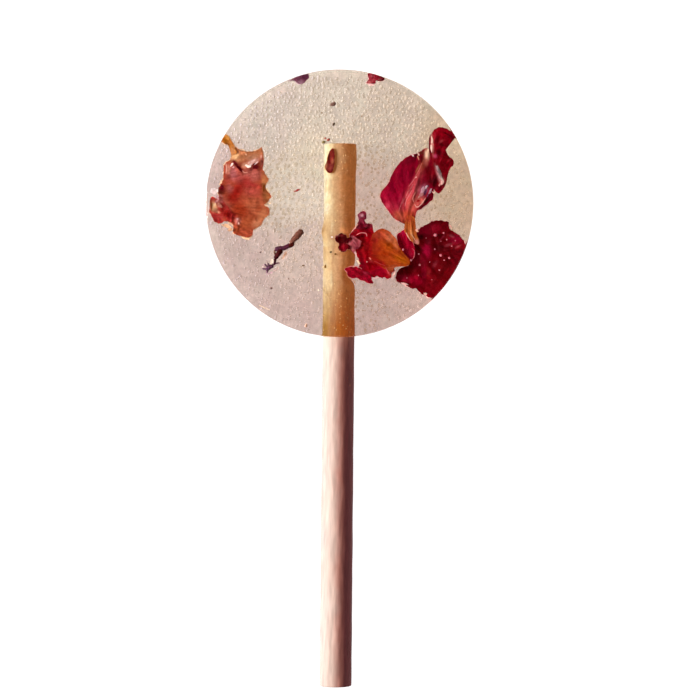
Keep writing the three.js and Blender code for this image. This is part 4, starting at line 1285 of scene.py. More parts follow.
# %% Petal beside the stick
CENTRE_PETAL = [
    {"middle": (6.3, -9.6), "height": 6.7, "slope": (-0.12, 0), "claw": (12.8, -11.0), "fan": (7, 0.12),
     "crumple": 0.16, "ragged": 0.16, "film": (0.14, (226, 150, 150)), "base": (146, 2, 20),
     "outline": [
         (9.6, -9.6), (7.0, -6.2), (6.3, -5.0), (6.1, -3.9), (5.2, -3.7), (4.4, -3.5), (3.6, -4.1),
         (2.5, -5.0), (1.9, -6.0), (2.4, -7.6), (3.0, -9.0), (3.3, -9.8), (3.7, -11.0), (3.6, -12.2),
         (4.8, -13.2), (6.1, -13.8), (7.0, -13.6), (7.7, -13.9), (8.3, -13.8), (8.9, -14.0), (9.6, -13.8),
         (9.8, -13.0), (10.3, -12.3),
     ],
     "spots": [
         (4.3, -4.3, 1.2, 0.9, 0, (146, 4, 30)), (5.6, -4.2, 0.6, 0.4, 0, (148, 54, 84), 0.7),
         (2.9, -5.1, 0.6, 0.35, 40, (122, 24, 34), 0.85), (5.2, -4.9, 0.6, 0.5, 0, (110, 0, 20), 0.9),
         (5.6, -6.8, 0.8, 1.2, 0, (160, 4, 20)), (5.0, -7.9, 0.9, 0.7, 0, (170, 10, 26)),
         (4.0, -9.2, 0.5, 1.0, 20, (118, 2, 14)), (4.7, -8.1, 0.7, 1.2, 0, (156, 18, 24), 0.9),
         (5.2, -9.8, 0.6, 1.0, 0, (154, 0, 16), 0.9), (4.3, -11.4, 0.5, 1.2, 10, (134, 8, 34)),
         (6.6, -11.6, 1.2, 1.0, 0, (136, 0, 12)), (8.0, -12.6, 1.3, 1.0, -20, (154, 2, 36)),
         (9.6, -12.6, 0.6, 1.0, 0, (182, 72, 62)), (6.4, -13.0, 1.0, 0.4, -10, (150, 2, 36)),
         (4.1, -6.1, 0.8, 0.36, 10, (80, 0, 10), 0.98), (5.3, -13.2, 0.5, 0.3, -40, (182, 58, 84), 0.8),
         (5.8, -10.6, 0.6, 0.25, -40, (188, 58, 60), 0.7),
     ],
     "creases": [
         (4.0, -6.0, 5.6, -13.0, 0.4, 0.13), (5.8, -9.4, 9.4, -13.0, 0.4, 0.12),
         (3.2, -4.8, 5.6, -4.0, 0.3, 0.12),
     ]},
    {"middle": (8.6, -8.4), "height": 6.8, "slope": (-0.12, 0), "claw": (14.0, -11.6), "fan": (6, 0.1),
     "crumple": 0.1, "ragged": 0.08, "streaks": (0.2, 1.0, 0.4), "rings": 28, "base": (174, 66, 23),
     "outline": [
         (11.1, -8.0), (10.6, -6.6), (9.9, -5.8), (9.1, -5.1), (8.2, -4.7), (7.3, -4.8), (6.6, -5.3),
         (6.1, -5.9), (5.6, -7.6), (5.4, -9.6), (6.4, -10.9), (8.0, -12.0), (9.6, -12.6), (10.4, -12.0),
         (11.2, -11.8), (12.6, -11.7), (13.2, -11.1), (13.1, -10.5), (12.5, -9.8), (11.8, -9.0),
     ],
     "spots": [
         (7.3, -5.9, 1.3, 0.9, 0, (184, 68, 51)), (9.0, -6.0, 1.2, 0.8, -30, (192, 88, 59)),
         (6.5, -7.0, 0.8, 0.8, 0, (150, 24, 26)), (9.6, -6.4, 0.7, 1.0, -30, (196, 108, 76), 0.9),
         (7.4, -8.7, 1.4, 1.0, 0, (174, 60, 19)), (9.4, -8.0, 1.0, 0.9, -20, (166, 70, 11)),
         (11.6, -10.5, 1.6, 0.7, -25, (172, 82, 11), 0.98), (8.4, -9.6, 1.0, 0.6, 0, (150, 44, 8)),
         (6.2, -9.6, 1.2, 1.4, 0, (156, 32, 18), 0.95), (6.4, -8.2, 1.1, 0.9, 0, (160, 44, 24), 0.9),
         (9.9, -12.0, 1.0, 0.5, 20, (176, 82, 53)), (7.4, -11.1, 1.6, 0.7, -25, (146, 4, 15), 0.98),
         (5.6, -8.6, 0.6, 2.4, 0, (150, 12, 18), 0.95), (10.4, -7.4, 0.5, 1.2, 20, (196, 104, 66), 0.9),
     ]},
    {"middle": (3.8, -13.2), "height": 7.2, "slope": (-0.1, 0), "crumple": 0.12, "ragged": 0.1, "rings": 12,
     "around": 100, "film": (0.12, (226, 146, 146)), "base": (144, 4, 32),
     "outline": [
         (6.3, -14.9), (6.0, -14.2), (5.9, -13.6), (5.3, -13.0), (4.7, -12.7), (4.2, -12.4), (3.6, -12.2),
         (3.1, -11.8), (2.5, -11.9), (2.0, -11.8), (1.0, -12.2), (1.35, -12.9), (1.6, -13.6), (2.4, -14.0),
         (3.2, -13.9), (3.9, -14.3), (4.6, -14.5), (5.3, -14.9),
     ],
     "spots": [
         (4.8, -13.9, 1.0, 0.6, -30, (146, 4, 36)), (4.8, -13.0, 0.5, 0.3, -40, (180, 44, 74)),
         (2.0, -12.3, 0.5, 0.4, 0, (152, 16, 38), 0.7), (3.4, -13.2, 0.9, 0.4, -25, (134, 0, 24), 0.8),
     ],
     "creases": [
         (2.0, -12.4, 5.8, -14.2, 0.35, 0.14),
     ]},
    {"middle": (4.2, -2.6), "height": 7.3, "slope": (-0.12, 0), "crumple": 0.16, "ragged": 0.14, "rings": 12,
     "around": 90, "film": (0.14, (224, 176, 176)), "base": (128, 34, 56),
     "outline": [
         (5.0, -2.6), (4.9, -1.7), (4.5, -1.4), (3.9, -1.6), (3.4, -2.2), (3.6, -3.1), (3.3, -3.8),
         (3.0, -4.6), (4.0, -4.8), (5.2, -4.2), (4.7, -3.2),
     ],
     "spots": [
         (4.15, -2.25, 0.3, 0.3, 0, (206, 150, 168)), (4.8, -2.4, 0.2, 0.6, 0, (92, 20, 40)),
         (4.1, -4.2, 0.8, 0.6, 0, (110, 0, 26)), (3.7, -2.5, 0.25, 0.6, 0, (150, 76, 100), 0.8),
     ]},
    {"middle": (2.6, -7.3), "height": 7.5, "slope": (-0.05, 0), "claw": (1.0, -6.0), "fan": (3, 0.2),
     "crumple": 0.2, "ragged": 0.16, "rings": 16, "around": 110, "base": (168, 76, 88),
     "outline": [
         (3.8, -8.1), (4.0, -7.3), (3.6, -6.7), (2.8, -6.2), (2.2, -6.1), (1.5, -6.8), (1.4, -7.5),
         (1.7, -8.0), (2.1, -8.8), (2.9, -9.5), (2.9, -8.8), (3.2, -8.5),
     ],
     "spots": [
         (2.3, -8.5, 0.4, 0.25, -50, (222, 130, 138)), (3.3, -8.3, 0.5, 0.3, 0, (112, 20, 42)),
         (1.7, -7.5, 0.35, 0.4, 20, (214, 116, 128), 0.85), (3.4, -7.5, 0.3, 0.6, 20, (128, 44, 58), 0.8),
         (3.9, -7.4, 0.2, 0.6, 10, (150, 66, 74), 0.8), (2.6, -6.9, 0.15, 0.6, 30, (190, 110, 122), 0.8),
         (2.9, -7.6, 0.12, 0.5, 30, (112, 32, 56), 0.8),
     ]},
    {"middle": (0.7, -7.1), "height": 7.85, "slope": (-0.14, 0), "crumple": 0.24, "ragged": 0.2, "rings": 18,
     "around": 140, "film": (0.14, (196, 140, 116)), "base": (72, 0, 4),
     "outline": [
         (1.7, -7.1), (2.4, -6.6), (2.1, -6.25), (1.5, -6.4), (1.0, -5.9), (0.4, -5.6), (-0.3, -5.85),
         (-0.8, -6.1), (-0.75, -6.9), (-0.1, -7.5), (-0.3, -8.3), (0.1, -8.9), (0.6, -9.1), (1.2, -8.9),
         (1.4, -8.5), (1.9, -8.5), (1.9, -8.0), (1.2, -7.7),
     ],
     "spots": [
         (0.6, -8.2, 0.75, 0.7, 0, (148, 6, 30), 0.98), (-0.45, -6.1, 0.5, 0.2, 10, (146, 70, 72), 0.85),
         (1.3, -7.6, 0.2, 0.5, 0, (120, 14, 26), 0.7), (1.5, -6.9, 0.5, 0.25, 0, (90, 2, 18), 0.7),
         (0.3, -6.0, 0.4, 0.2, 0, (120, 34, 40), 0.8), (0.9, -8.8, 0.5, 0.1, 0, (150, 36, 50), 0.7),
     ]},
]
petal("petal_centre_sheet", CENTRE_PETAL, "petal_centre")

# %% [markdown]
# Three scraps are left, each as large as a lentil. The first is dark red and lies on the stick near its
# upper end, with air along its edge. It could be a blob, but would look like a pebble, so it is made as
# petals are, with fewer rings.

# %% Scrap on the stick
STICK_SCRAP = [
    {"middle": (-1.75, 8.1), "height": 7.5, "slope": (0.2, 0), "crumple": 0.14, "ragged": 0.08, "rings": 12,
     "around": 80, "film": (0.1, (206, 150, 96)), "base": (86, 2, 8),
     "outline": [
         (-0.9, 8.2), (-0.95, 9.4), (-1.2, 10.25), (-1.8, 9.9), (-2.1, 9.1), (-2.3, 8.5), (-2.35, 7.9),
         (-2.75, 6.9), (-2.2, 5.8), (-1.4, 5.85), (-1.0, 7.2),
     ],
     "spots": [
         (-1.9, 6.7, 0.8, 0.6, 0, (126, 48, 42)), (-1.3, 7.9, 0.3, 0.5, 0, (150, 80, 60)),
         (-1.5, 9.3, 0.35, 0.8, -10, (112, 30, 22)), (-2.1, 8.2, 0.28, 0.8, -8, (78, 6, 8), 0.9),
         (-2.55, 6.9, 0.22, 0.7, -20, (160, 92, 70), 0.8), (-1.6, 8.4, 0.3, 0.5, 0, (134, 44, 38), 0.8),
     ]},
]
petal("scrap_on_stick_sheet", STICK_SCRAP, "scrap_on_stick")

# %% [markdown]
# The other two scraps, one purple and one crimson, are cut off by the rim at the top, where the mould's
# wall held them. Cutting them with the disc would need a boolean for two tiny pieces. Their outlines run
# along the rim instead, and every blade is kept inside the disc as it is made.

# %% Scraps at the rim
PURPLE_SCRAP = [
    {"middle": (-7.2, 23.4), "height": 5.6, "crumple": 0.1, "ragged": 0.08, "rings": 10, "around": 80,
     "film": (0.16, (220, 196, 204)), "base": (118, 64, 88),
     "outline": [
         (-5.8, 23.6), (-6.0, 24.2), (-7.3, 23.9), (-8.6, 23.45), (-10.2, 22.8), (-9.2, 22.95),
         (-8.4, 23.05), (-7.75, 22.5), (-6.9, 22.55), (-6.35, 23.05),
     ],
     "spots": [
         (-6.5, 23.7, 1.1, 0.4, 10, (78, 32, 58)), (-7.3, 22.75, 0.8, 0.4, 0, (146, 106, 130)),
         (-9.4, 22.9, 0.6, 0.2, 20, (190, 156, 170)),
     ]},
]
petal("scrap_rim_purple_sheet", PURPLE_SCRAP, "scrap_rim_purple")

CRIMSON_SCRAP = [
    {"middle": (6.5, 23.3), "height": 5.8, "crumple": 0.1, "ragged": 0.08, "rings": 10, "around": 80,
     "film": (0.3, (236, 188, 196)), "base": (122, 12, 34),
     "outline": [
         (8.4, 23.2), (8.1, 23.6), (7.1, 24.0), (6.2, 24.25), (5.25, 24.4), (5.4, 23.4), (5.1, 22.7),
         (5.9, 22.5), (6.7, 22.6), (6.8, 23.1), (7.6, 22.95),
     ],
     "spots": [
         (8.0, 23.4, 0.7, 0.35, -20, (76, 10, 20)), (6.0, 22.9, 0.8, 0.3, 40, (170, 66, 82), 0.8),
         (5.6, 23.5, 0.35, 0.6, 0, (160, 50, 70), 0.8), (6.0, 23.9, 0.4, 0.25, -10, (156, 74, 90), 0.8),
         (5.5, 22.8, 0.4, 0.3, 0, (186, 100, 108), 0.8), (7.5, 23.2, 0.4, 0.25, -20, (122, 66, 70), 0.7),
     ]},
]
petal("scrap_rim_crimson_sheet", CRIMSON_SCRAP, "scrap_rim_crimson")

# %% [markdown]
# Left of the stick lies the stem of a tiny purple flower: a stout brown piece, a thinner part, a small
# loop and a frayed tip, with pale air along it. A skin modifier could grow it from a few edges, but gives
# lumps where three of them meet, so each part is a tube along its own short path, and the tubes run into
# each other.

# %% Purple stem
STEM_BROWN, STEM_DARK = (104, 66, 62), (62, 16, 14)
STEM_PURPLE, STEM_LILAC = (88, 50, 78), (120, 88, 116)
HALO_Z = 4.75
# each part: path of (x, y, z, radius), colour of both ends, roughness
STEM_PARTS = [
    ([(-7.0, -4.85, 4.6, 0.6), (-7.8, -5.8, 4.6, 0.64), (-8.55, -6.65, 4.6, 0.5), (-9.15, -7.5, 4.6, 0.5)],
     STEM_BROWN, (108, 66, 62), 0.35),
    ([(-8.6, -7.35, 4.8, 0.32), (-9.1, -7.7, 4.8, 0.4), (-9.6, -7.95, 4.7, 0.3)], STEM_DARK, STEM_DARK, 0.3),
    ([(-9.1, -7.6, 4.6, 0.46), (-10.1, -8.15, 4.6, 0.42), (-11.2, -8.35, 4.6, 0.44),
      (-12.2, -8.55, 4.6, 0.36)], (74, 26, 50), STEM_PURPLE, 0.3),
    ([(-12.1, -8.6, 4.6, 0.2), (-12.2, -9.1, 4.6, 0.17), (-12.0, -9.8, 4.6, 0.17),
      (-11.9, -10.2, 4.6, 0.22)], (104, 74, 70), STEM_DARK, 0.2),
    ([(-10.85, -8.55, 4.8, 0.34), (-11.3, -9.1, 4.8, 0.48), (-11.75, -9.7, 4.7, 0.44),
      (-12.15, -10.35, 4.6, 0.32)], STEM_DARK, (58, 10, 24), 0.3),
    ([(-12.1, -10.3, 4.6, 0.28), (-12.2, -10.9, 4.6, 0.24), (-12.4, -11.45, 4.6, 0.28)],
     STEM_DARK, STEM_PURPLE, 0.2),
    ([(-12.2, -11.2, 4.6, 0.15), (-11.8, -11.1, 4.6, 0.15), (-11.35, -11.05, 4.6, 0.12)],
     STEM_PURPLE, STEM_LILAC, 0.2),
    ([(-12.4, -11.5, 4.6, 0.32), (-12.95, -11.8, 4.7, 0.4), (-13.5, -12.1, 4.7, 0.42),
      (-13.8, -12.5, 4.6, 0.2)], STEM_PURPLE, (78, 52, 84), 0.5),
    ([(-13.4, -11.95, 4.6, 0.2), (-13.75, -11.6, 4.7, 0.2), (-14.15, -11.25, 4.7, 0.14)],
     STEM_PURPLE, STEM_LILAC, 0.3),
    ([(-13.05, -11.85, 4.6, 0.2), (-13.35, -11.4, 4.8, 0.18), (-13.5, -11.05, 4.8, 0.12)],
     STEM_PURPLE, STEM_LILAC, 0.3),
    ([(-13.6, -12.1, 4.6, 0.22), (-14.1, -12.15, 4.6, 0.2), (-14.5, -12.1, 4.6, 0.12)],
     STEM_PURPLE, STEM_LILAC, 0.3),
    ([(-13.35, -12.1, 4.6, 0.26), (-13.6, -12.6, 4.6, 0.2), (-13.75, -12.95, 4.6, 0.12)],
     STEM_PURPLE, STEM_LILAC, 0.3),
]
# each bit of air: x, y, half length, half width, heading, colour; the pale colours are painted glints
STEM_HALO = [
    (-10.3, -9.5, 0.8, 0.24, 60, (206, 162, 150)), (-13.1, -12.95, 0.8, 0.16, 20, (206, 176, 200)),
    (-14.4, -11.7, 0.6, 0.16, 50, (216, 190, 206)), (-12.0, -12.3, 0.7, 0.16, 30, (212, 182, 192)),
    (-12.8, -10.9, 0.5, 0.28, 80, (238, 222, 222)), (-13.7, -10.8, 0.4, 0.1, 80, (222, 200, 214)),
]


def purple_stem():
    """The stem and its frayed tip, with the air that clings to them."""
    bm = new_painted_mesh()
    for x, y, length, width, heading, shade in STEM_HALO:
        add_patch(bm, (x, y), length, width, heading, colour(*shade), lambda u, v: HALO_Z)
    thicken(bm, -0.03)
    for path, first, last, rough in STEM_PARTS:
        add_tube(bm, path, colour(*first), colour(*last), flat=0.8, steps=10, rough=rough)
    bmesh.ops.recalc_face_normals(bm, faces=bm.faces[:])
    finish_piece("purple_stem", bm, PETAL_FINISH)


purple_stem()

# %% [markdown]
# Crumbs of petal and a few bits of stem lie scattered in the sugar and against the stick. They could be
# thrown in at random, but a few of them are plain to see, each in its place, so they are written one by
# one as blobs.

# %% Crumbs
# each crumb: x, y, z, half length, half width, heading, colour
CRUMBS = [
    (-1.2, 18.85, 3.0, 0.56, 0.38, 20, (116, 88, 90)), (-1.1, 15.05, 3.0, 0.34, 0.24, 60, (82, 66, 58)),
    (-3.0, 11.6, 5.5, 0.35, 0.25, 0, (120, 104, 70)), (-2.1, 12.0, 5.5, 0.32, 0.24, 30, (150, 70, 66)),
    (-2.7, 12.3, 5.2, 0.2, 0.16, 0, (170, 90, 84)), (-7.9, 2.6, 4.0, 0.45, 0.18, 25, (168, 40, 46)),
    (-8.4, 2.4, 4.0, 0.25, 0.12, 0, (190, 96, 96)), (-1.65, -9.1, 7.35, 0.24, 0.16, 10, (24, 14, 12)),
    (-0.8, -9.45, 7.4, 0.22, 0.14, -20, (110, 72, 40)), (-12.9, -15.8, 3.0, 0.26, 0.18, 0, (120, 92, 96)),
    (-14.9, -9.0, 3.0, 0.2, 0.14, 40, (130, 104, 110)), (-6.8, -11.5, 3.0, 0.22, 0.15, 0, (140, 116, 104)),
    (-19.0, 11.6, 3.0, 0.18, 0.12, 0, (150, 124, 110)), (-3.4, 17.2, 3.0, 0.2, 0.14, 30, (150, 126, 104)),
    (4.2, 16.6, 3.0, 0.16, 0.12, 0, (150, 120, 100)), (-9.6, -14.0, 3.0, 0.14, 0.12, 0, (150, 110, 110)),
    (-2.65, -11.75, 6.0, 0.34, 0.2, 80, (124, 88, 44)), (-6.35, -22.8, 2.0, 0.34, 0.26, 60, (226, 192, 186)),
]


def crumbs():
    """All the crumbs in one mesh."""
    bm = new_painted_mesh()
    for x, y, z, length, width, heading, shade in CRUMBS:
        add_blob(bm, (x, y, z), (length, width, min(length, width) * 0.7), heading, colour(*shade), 0.7)
    finish_piece("crumbs", bm, PETAL_FINISH)


crumbs()

# %% [markdown]
# Where a petal keeps the syrup off, air stays behind: silvery glints on the creases, pale thin lines
# along torn edges, and small round bubbles on the dark petals. Hollows in the sugar would be the real
# thing, but they would need their own refraction to be traced at a fraction of a millimetre. What the eye
# sees is a pale, slightly shiny shape, so that is what is modelled: patches, thin tubes and blobs whose
# pale colours are painted glints, in a finish that shows a share of its own light as a painted glow.

# %% Finish of the trapped air
AIR_FINISH = painted_material("trapped_air", roughness=0.3, specular=0.2, lift=0.3, shade=(0.8, 0.8, 0.8),
                              mottle=(1600.0, 0.1), relief=0.03)
PAINTED_GLINT = (240, 222, 222)
BLUSH = (214, 150, 150)
print("trapped air shows", AIR_FINISH.name, "in", PAINTED_GLINT, "where it is brightest")

# %% [markdown]
# The air isn't spread evenly: it gathers where a petal folds, along torn edges and in the hollow of the
# dark petals. Random places would miss all of these, so each pocket, bubble and line is listed one by one,
# as high as the blade that it lies on.

# %% Places of the trapped air
# each pocket: x, y, z, half length, half width, heading, colour; the pale colours are painted glints
AIR_POCKETS = [
    (-23.6, 2.5, 6.4, 0.6, 0.45, -20, (226, 212, 216)), (-23.4, 2.2, 6.5, 0.55, 0.45, 30, (236, 212, 214)),
    (-20.2, 7.3, 6.6, 0.34, 0.16, 60, PAINTED_GLINT), (-19.9, 6.8, 6.5, 0.2, 0.12, 30, (210, 160, 166)),
    (-17.1, 7.0, 6.6, 0.5, 0.26, -10, PAINTED_GLINT), (-16.7, 7.3, 6.5, 0.3, 0.14, 35, (206, 176, 180)),
    (-16.2, 7.9, 6.5, 0.3, 0.12, 50, (200, 164, 166)), (-17.0, 7.7, 6.5, 0.2, 0.1, 60, (206, 166, 156)),
    (-19.4, 8.7, 6.5, 0.3, 0.16, 50, (220, 176, 136)), (-17.5, 9.2, 6.4, 0.12, 0.12, 0, (226, 176, 150)),
    (-14.7, 8.8, 6.4, 0.16, 0.3, 0, (196, 140, 130)), (13.7, 8.95, 7.4, 0.2, 0.12, -50, PAINTED_GLINT),
    (14.75, 9.2, 7.4, 0.3, 0.1, -55, (226, 176, 170)), (16.35, 9.3, 7.6, 0.75, 0.26, 80, (226, 190, 166)),
    (14.3, 4.9, 7.4, 0.16, 0.1, 30, BLUSH), (-22.9, 1.2, 6.5, 0.4, 0.14, -50, (196, 140, 150)),
    (-16.2, 8.0, 6.6, 0.45, 0.14, 32, (204, 164, 164)), (-15.6, 7.6, 6.6, 0.4, 0.1, 40, (226, 196, 204)),
    (14.5, -0.65, 7.3, 0.2, 0.12, 0, (226, 170, 164)), (14.45, -5.1, 7.2, 0.26, 0.18, -40, (216, 160, 142)),
    (20.8, -4.2, 5.5, 0.4, 0.14, -55, (216, 156, 150)), (12.2, -15.0, 5.4, 0.7, 0.16, -14, (222, 176, 180)),
    (16.05, -16.9, 5.4, 0.3, 0.2, -10, (220, 170, 168)), (10.6, -12.5, 5.4, 0.6, 0.13, 62, (226, 180, 180)),
    (3.5, -10.95, 7.3, 0.5, 0.15, -55, (236, 204, 176)), (2.95, -9.4, 7.7, 0.4, 0.12, -62, (226, 176, 176)),
    (5.7, -10.3, 7.2, 0.24, 0.1, -40, (210, 104, 100)), (-1.45, -6.3, 7.9, 0.16, 0.14, 0, PAINTED_GLINT),
    (6.6, -13.9, 7.0, 0.7, 0.1, 6, (222, 164, 172)), (10.1, -13.3, 6.5, 0.7, 0.13, 58, (226, 178, 176)),
    (-21.1, -4.2, 6.0, 0.7, 0.28, -20, (226, 176, 146)), (-20.5, -4.9, 6.0, 0.45, 0.26, 10, (200, 150, 122)),
    (-21.9, -3.9, 6.0, 0.4, 0.14, -10, (216, 180, 162)),
    (-19.15, -2.9, 6.5, 0.16, 0.12, 0, (200, 156, 158)), (-18.9, -3.7, 6.5, 0.12, 0.2, 0, (206, 156, 150)),
    (-12.5, -10.8, 5.0, 0.35, 0.1, 85, (240, 226, 226)), (-4.0, -16.2, 6.5, 0.14, 0.14, 0, (250, 234, 216)),
    (5.1, -10.9, 7.3, 0.1, 0.09, 0, (220, 176, 170)), (-3.1, -11.9, 6.0, 0.12, 0.18, 0, (238, 214, 184)),
    (-23.4, -0.2, 6.4, 0.25, 0.2, 60, (220, 186, 150)), (-13.1, 0.1, 6.0, 0.2, 0.12, 0, (232, 196, 166)),
]
# each bubble: x, y, radius
PETAL_BUBBLES = [
    (17.95, -5.85, 0.32), (19.5, -5.45, 0.18), (17.85, -8.5, 0.15), (18.95, -9.65, 0.24),
    (20.55, -10.15, 0.2), (19.6, -10.55, 0.14), (15.0, -11.45, 0.2), (14.85, -9.4, 0.14),
    (18.7, -12.4, 0.14), (11.9, -8.6, 0.2), (13.4, -10.55, 0.17), (21.0, -7.9, 0.13), (16.9, -10.9, 0.1),
    (14.8, -13.4, 0.1), (20.1, -6.7, 0.13), (21.7, -6.9, 0.1), (17.3, -14.2, 0.08), (19.0, -7.0, 0.08),
    (16.2, -6.4, 0.09), (12.6, -13.9, 0.1),
]
# each line: path of (x, y, z, radius), colour
AIR_LINES = [
    # the next two lines are a painted highlight along the roll of the curl, the third a dark line beside it
    ([(17.1, 12.6, 7.9, 0.06), (17.3, 11.8, 8.0, 0.2), (17.15, 11.2, 8.0, 0.14)], (226, 186, 174)),
    ([(17.1, 11.0, 8.0, 0.13), (17.15, 10.3, 8.0, 0.2), (17.2, 9.5, 8.0, 0.06)], (228, 190, 178)),
    ([(16.95, 13.0, 8.1, 0.05), (16.75, 11.8, 8.1, 0.08), (16.75, 10.4, 8.1, 0.08), (16.95, 9.2, 8.0, 0.05)],
     (84, 10, 26)),
    ([(13.9, 0.2, 7.3, 0.05), (13.7, 1.0, 7.3, 0.09), (14.2, 2.1, 7.3, 0.07)], (196, 110, 106)),
    ([(14.0, -0.1, 7.3, 0.06), (14.5, -0.7, 7.3, 0.1), (15.4, 0.0, 7.3, 0.09), (16.1, 1.1, 7.3, 0.07)],
     (206, 140, 134)),
    ([(12.2, -0.6, 7.2, 0.04), (12.5, 0.6, 7.2, 0.07), (13.2, 1.9, 7.3, 0.06), (13.6, 2.6, 7.3, 0.03)],
     (196, 110, 116)),
    ([(12.9, 3.2, 7.3, 0.04), (13.7, 4.2, 7.3, 0.08), (14.3, 5.2, 7.3, 0.04)], (184, 90, 100)),
    ([(14.2, 5.2, 7.3, 0.03), (14.8, 6.2, 7.3, 0.06), (15.4, 7.6, 7.3, 0.03)], (184, 100, 90)),
    ([(11.0, -1.6, 7.1, 0.03), (11.4, -0.4, 7.1, 0.05), (11.9, 1.0, 7.2, 0.03)], (186, 90, 100)),
    ([(17.3, 2.3, 7.4, 0.05), (17.6, 1.9, 7.4, 0.09), (17.9, 2.3, 7.4, 0.05)], (220, 170, 156)),
    ([(12.4, -5.4, 7.2, 0.06), (12.8, -6.2, 7.2, 0.09), (13.3, -7.0, 7.1, 0.05)], (214, 156, 142)),
    ([(13.3, -5.6, 7.2, 0.04), (13.8, -6.3, 7.2, 0.07), (14.2, -7.0, 7.1, 0.04)], (204, 150, 120)),
    ([(13.5, -8.3, 5.75, 0.04), (14.05, -8.9, 5.75, 0.07), (13.95, -10.0, 5.75, 0.06),
      (13.4, -10.6, 5.75, 0.04)], (176, 76, 92)),
    ([(2.1, -5.5, 7.6, 0.05), (2.9, -4.5, 7.6, 0.11), (3.5, -3.8, 7.6, 0.05)], (208, 140, 130)),
    ([(3.1, -5.9, 7.5, 0.04), (4.0, -5.5, 7.6, 0.09), (4.9, -5.6, 7.5, 0.1), (5.1, -6.2, 7.5, 0.05)],
     (204, 116, 120)),
    ([(1.6, -11.9, 7.8, 0.04), (2.6, -11.7, 7.8, 0.07), (3.6, -11.9, 7.7, 0.07), (4.2, -12.3, 7.6, 0.04)],
     (204, 116, 120)),
    ([(1.3, -13.3, 7.5, 0.04), (1.8, -13.9, 7.3, 0.08), (2.6, -14.5, 7.0, 0.08), (3.1, -15.3, 6.4, 0.04)],
     (204, 136, 108)),
    ([(8.6, -11.9, 7.0, 0.03), (9.0, -12.7, 7.0, 0.07), (9.4, -13.3, 6.9, 0.04)], (186, 76, 90)),
    ([(6.1, -10.6, 7.0, 0.03), (7.4, -11.2, 7.0, 0.05), (8.6, -11.7, 7.0, 0.03)], (176, 60, 60)),
    ([(12.1, -9.9, 5.9, 0.04), (11.3, -8.9, 5.9, 0.09), (10.8, -7.5, 5.9, 0.09), (10.7, -6.2, 5.9, 0.05)],
     (222, 168, 160)),
    ([(-13.7, 3.0, 6.2, 0.05), (-13.5, 2.5, 6.2, 0.12), (-13.1, 2.1, 6.2, 0.05)], (222, 184, 150)),
    ([(-14.1, -0.1, 6.2, 0.05), (-13.8, -0.4, 6.2, 0.12), (-13.3, -0.4, 6.2, 0.05)], (222, 186, 164)),
    ([(-18.2, 6.2, 6.4, 0.04), (-17.8, 5.8, 6.4, 0.08), (-17.2, 5.9, 6.4, 0.04)], (206, 140, 130)),
    ([(-21.3, 7.6, 6.3, 0.05), (-21.2, 6.6, 6.3, 0.1), (-21.3, 5.6, 6.3, 0.05)], (216, 160, 150)),
    ([(-15.2, -18.9, 1.8, 0.05), (-14.2, -19.4, 1.8, 0.1), (-13.1, -19.9, 1.8, 0.05)], (232, 206, 192)),
]
print(len(AIR_POCKETS), "pockets,", len(PETAL_BUBBLES), "round bubbles and", len(AIR_LINES), "lines of air")

# %% [markdown]
# All that air is one mesh, because its finish is the same and nothing of it is ever moved alone. The
# pockets are made first, while they are still flat, so that one call can thicken them. Round bubbles and
# lines of air are closed shapes already, and follow.

# %% Trapped air
POCKET_GROWTH = 1.1
BUBBLE_PINK = (196, 110, 130)


def trapped_air():
    """Pockets, round bubbles and lines of air, all in one mesh."""
    bm = new_painted_mesh()
    for x, y, z, length, width, heading, shade in AIR_POCKETS:
        add_patch(bm, (x, y), length * POCKET_GROWTH, width * POCKET_GROWTH, heading, colour(*shade),
                  lambda u, v: z)
    thicken(bm, -0.05)
    for x, y, radius in PETAL_BUBBLES:
        z = 6.3 if x < 14 else 5.3  # the small bright blade lies higher than the large dark one
        add_blob(bm, (x, y, z), (radius, radius, radius), 0, colour(*BUBBLE_PINK), 0.1)
    for path, shade in AIR_LINES:
        add_tube(bm, path, colour(*shade), colour(*shade), flat=0.5, segments=6, steps=12)
    bmesh.ops.recalc_face_normals(bm, faces=bm.faces[:])
    finish_piece("trapped_air", bm, AIR_FINISH)


trapped_air()

# %% [markdown]
# The films of air under the petals were gathered while the petals were made. They are flat sheets still,
# and get their small thickness last, all at once, so that every one of them is closed.

# %% Films of air
thicken(air_films, -0.05)
finish_piece("air_films", air_films, AIR_FINISH)

# %% [markdown]
# Where sugar meets wood, tiny bubbles cling to the stick's upper side, most of them near its upper end
# and near the place where it comes out. Placing them by hand would take hundreds of lines, so they fall
# at random on the round of the wood, and are kept more often where they crowd in the real one.

# %% Bubbles on the stick
STICK_BUBBLE_TRIES = 330
STICK_BUBBLE_RADII = (0.03, 0.1)
PALE_BUBBLE, SHADED_BUBBLE = (224, 184, 128), (190, 136, 84)


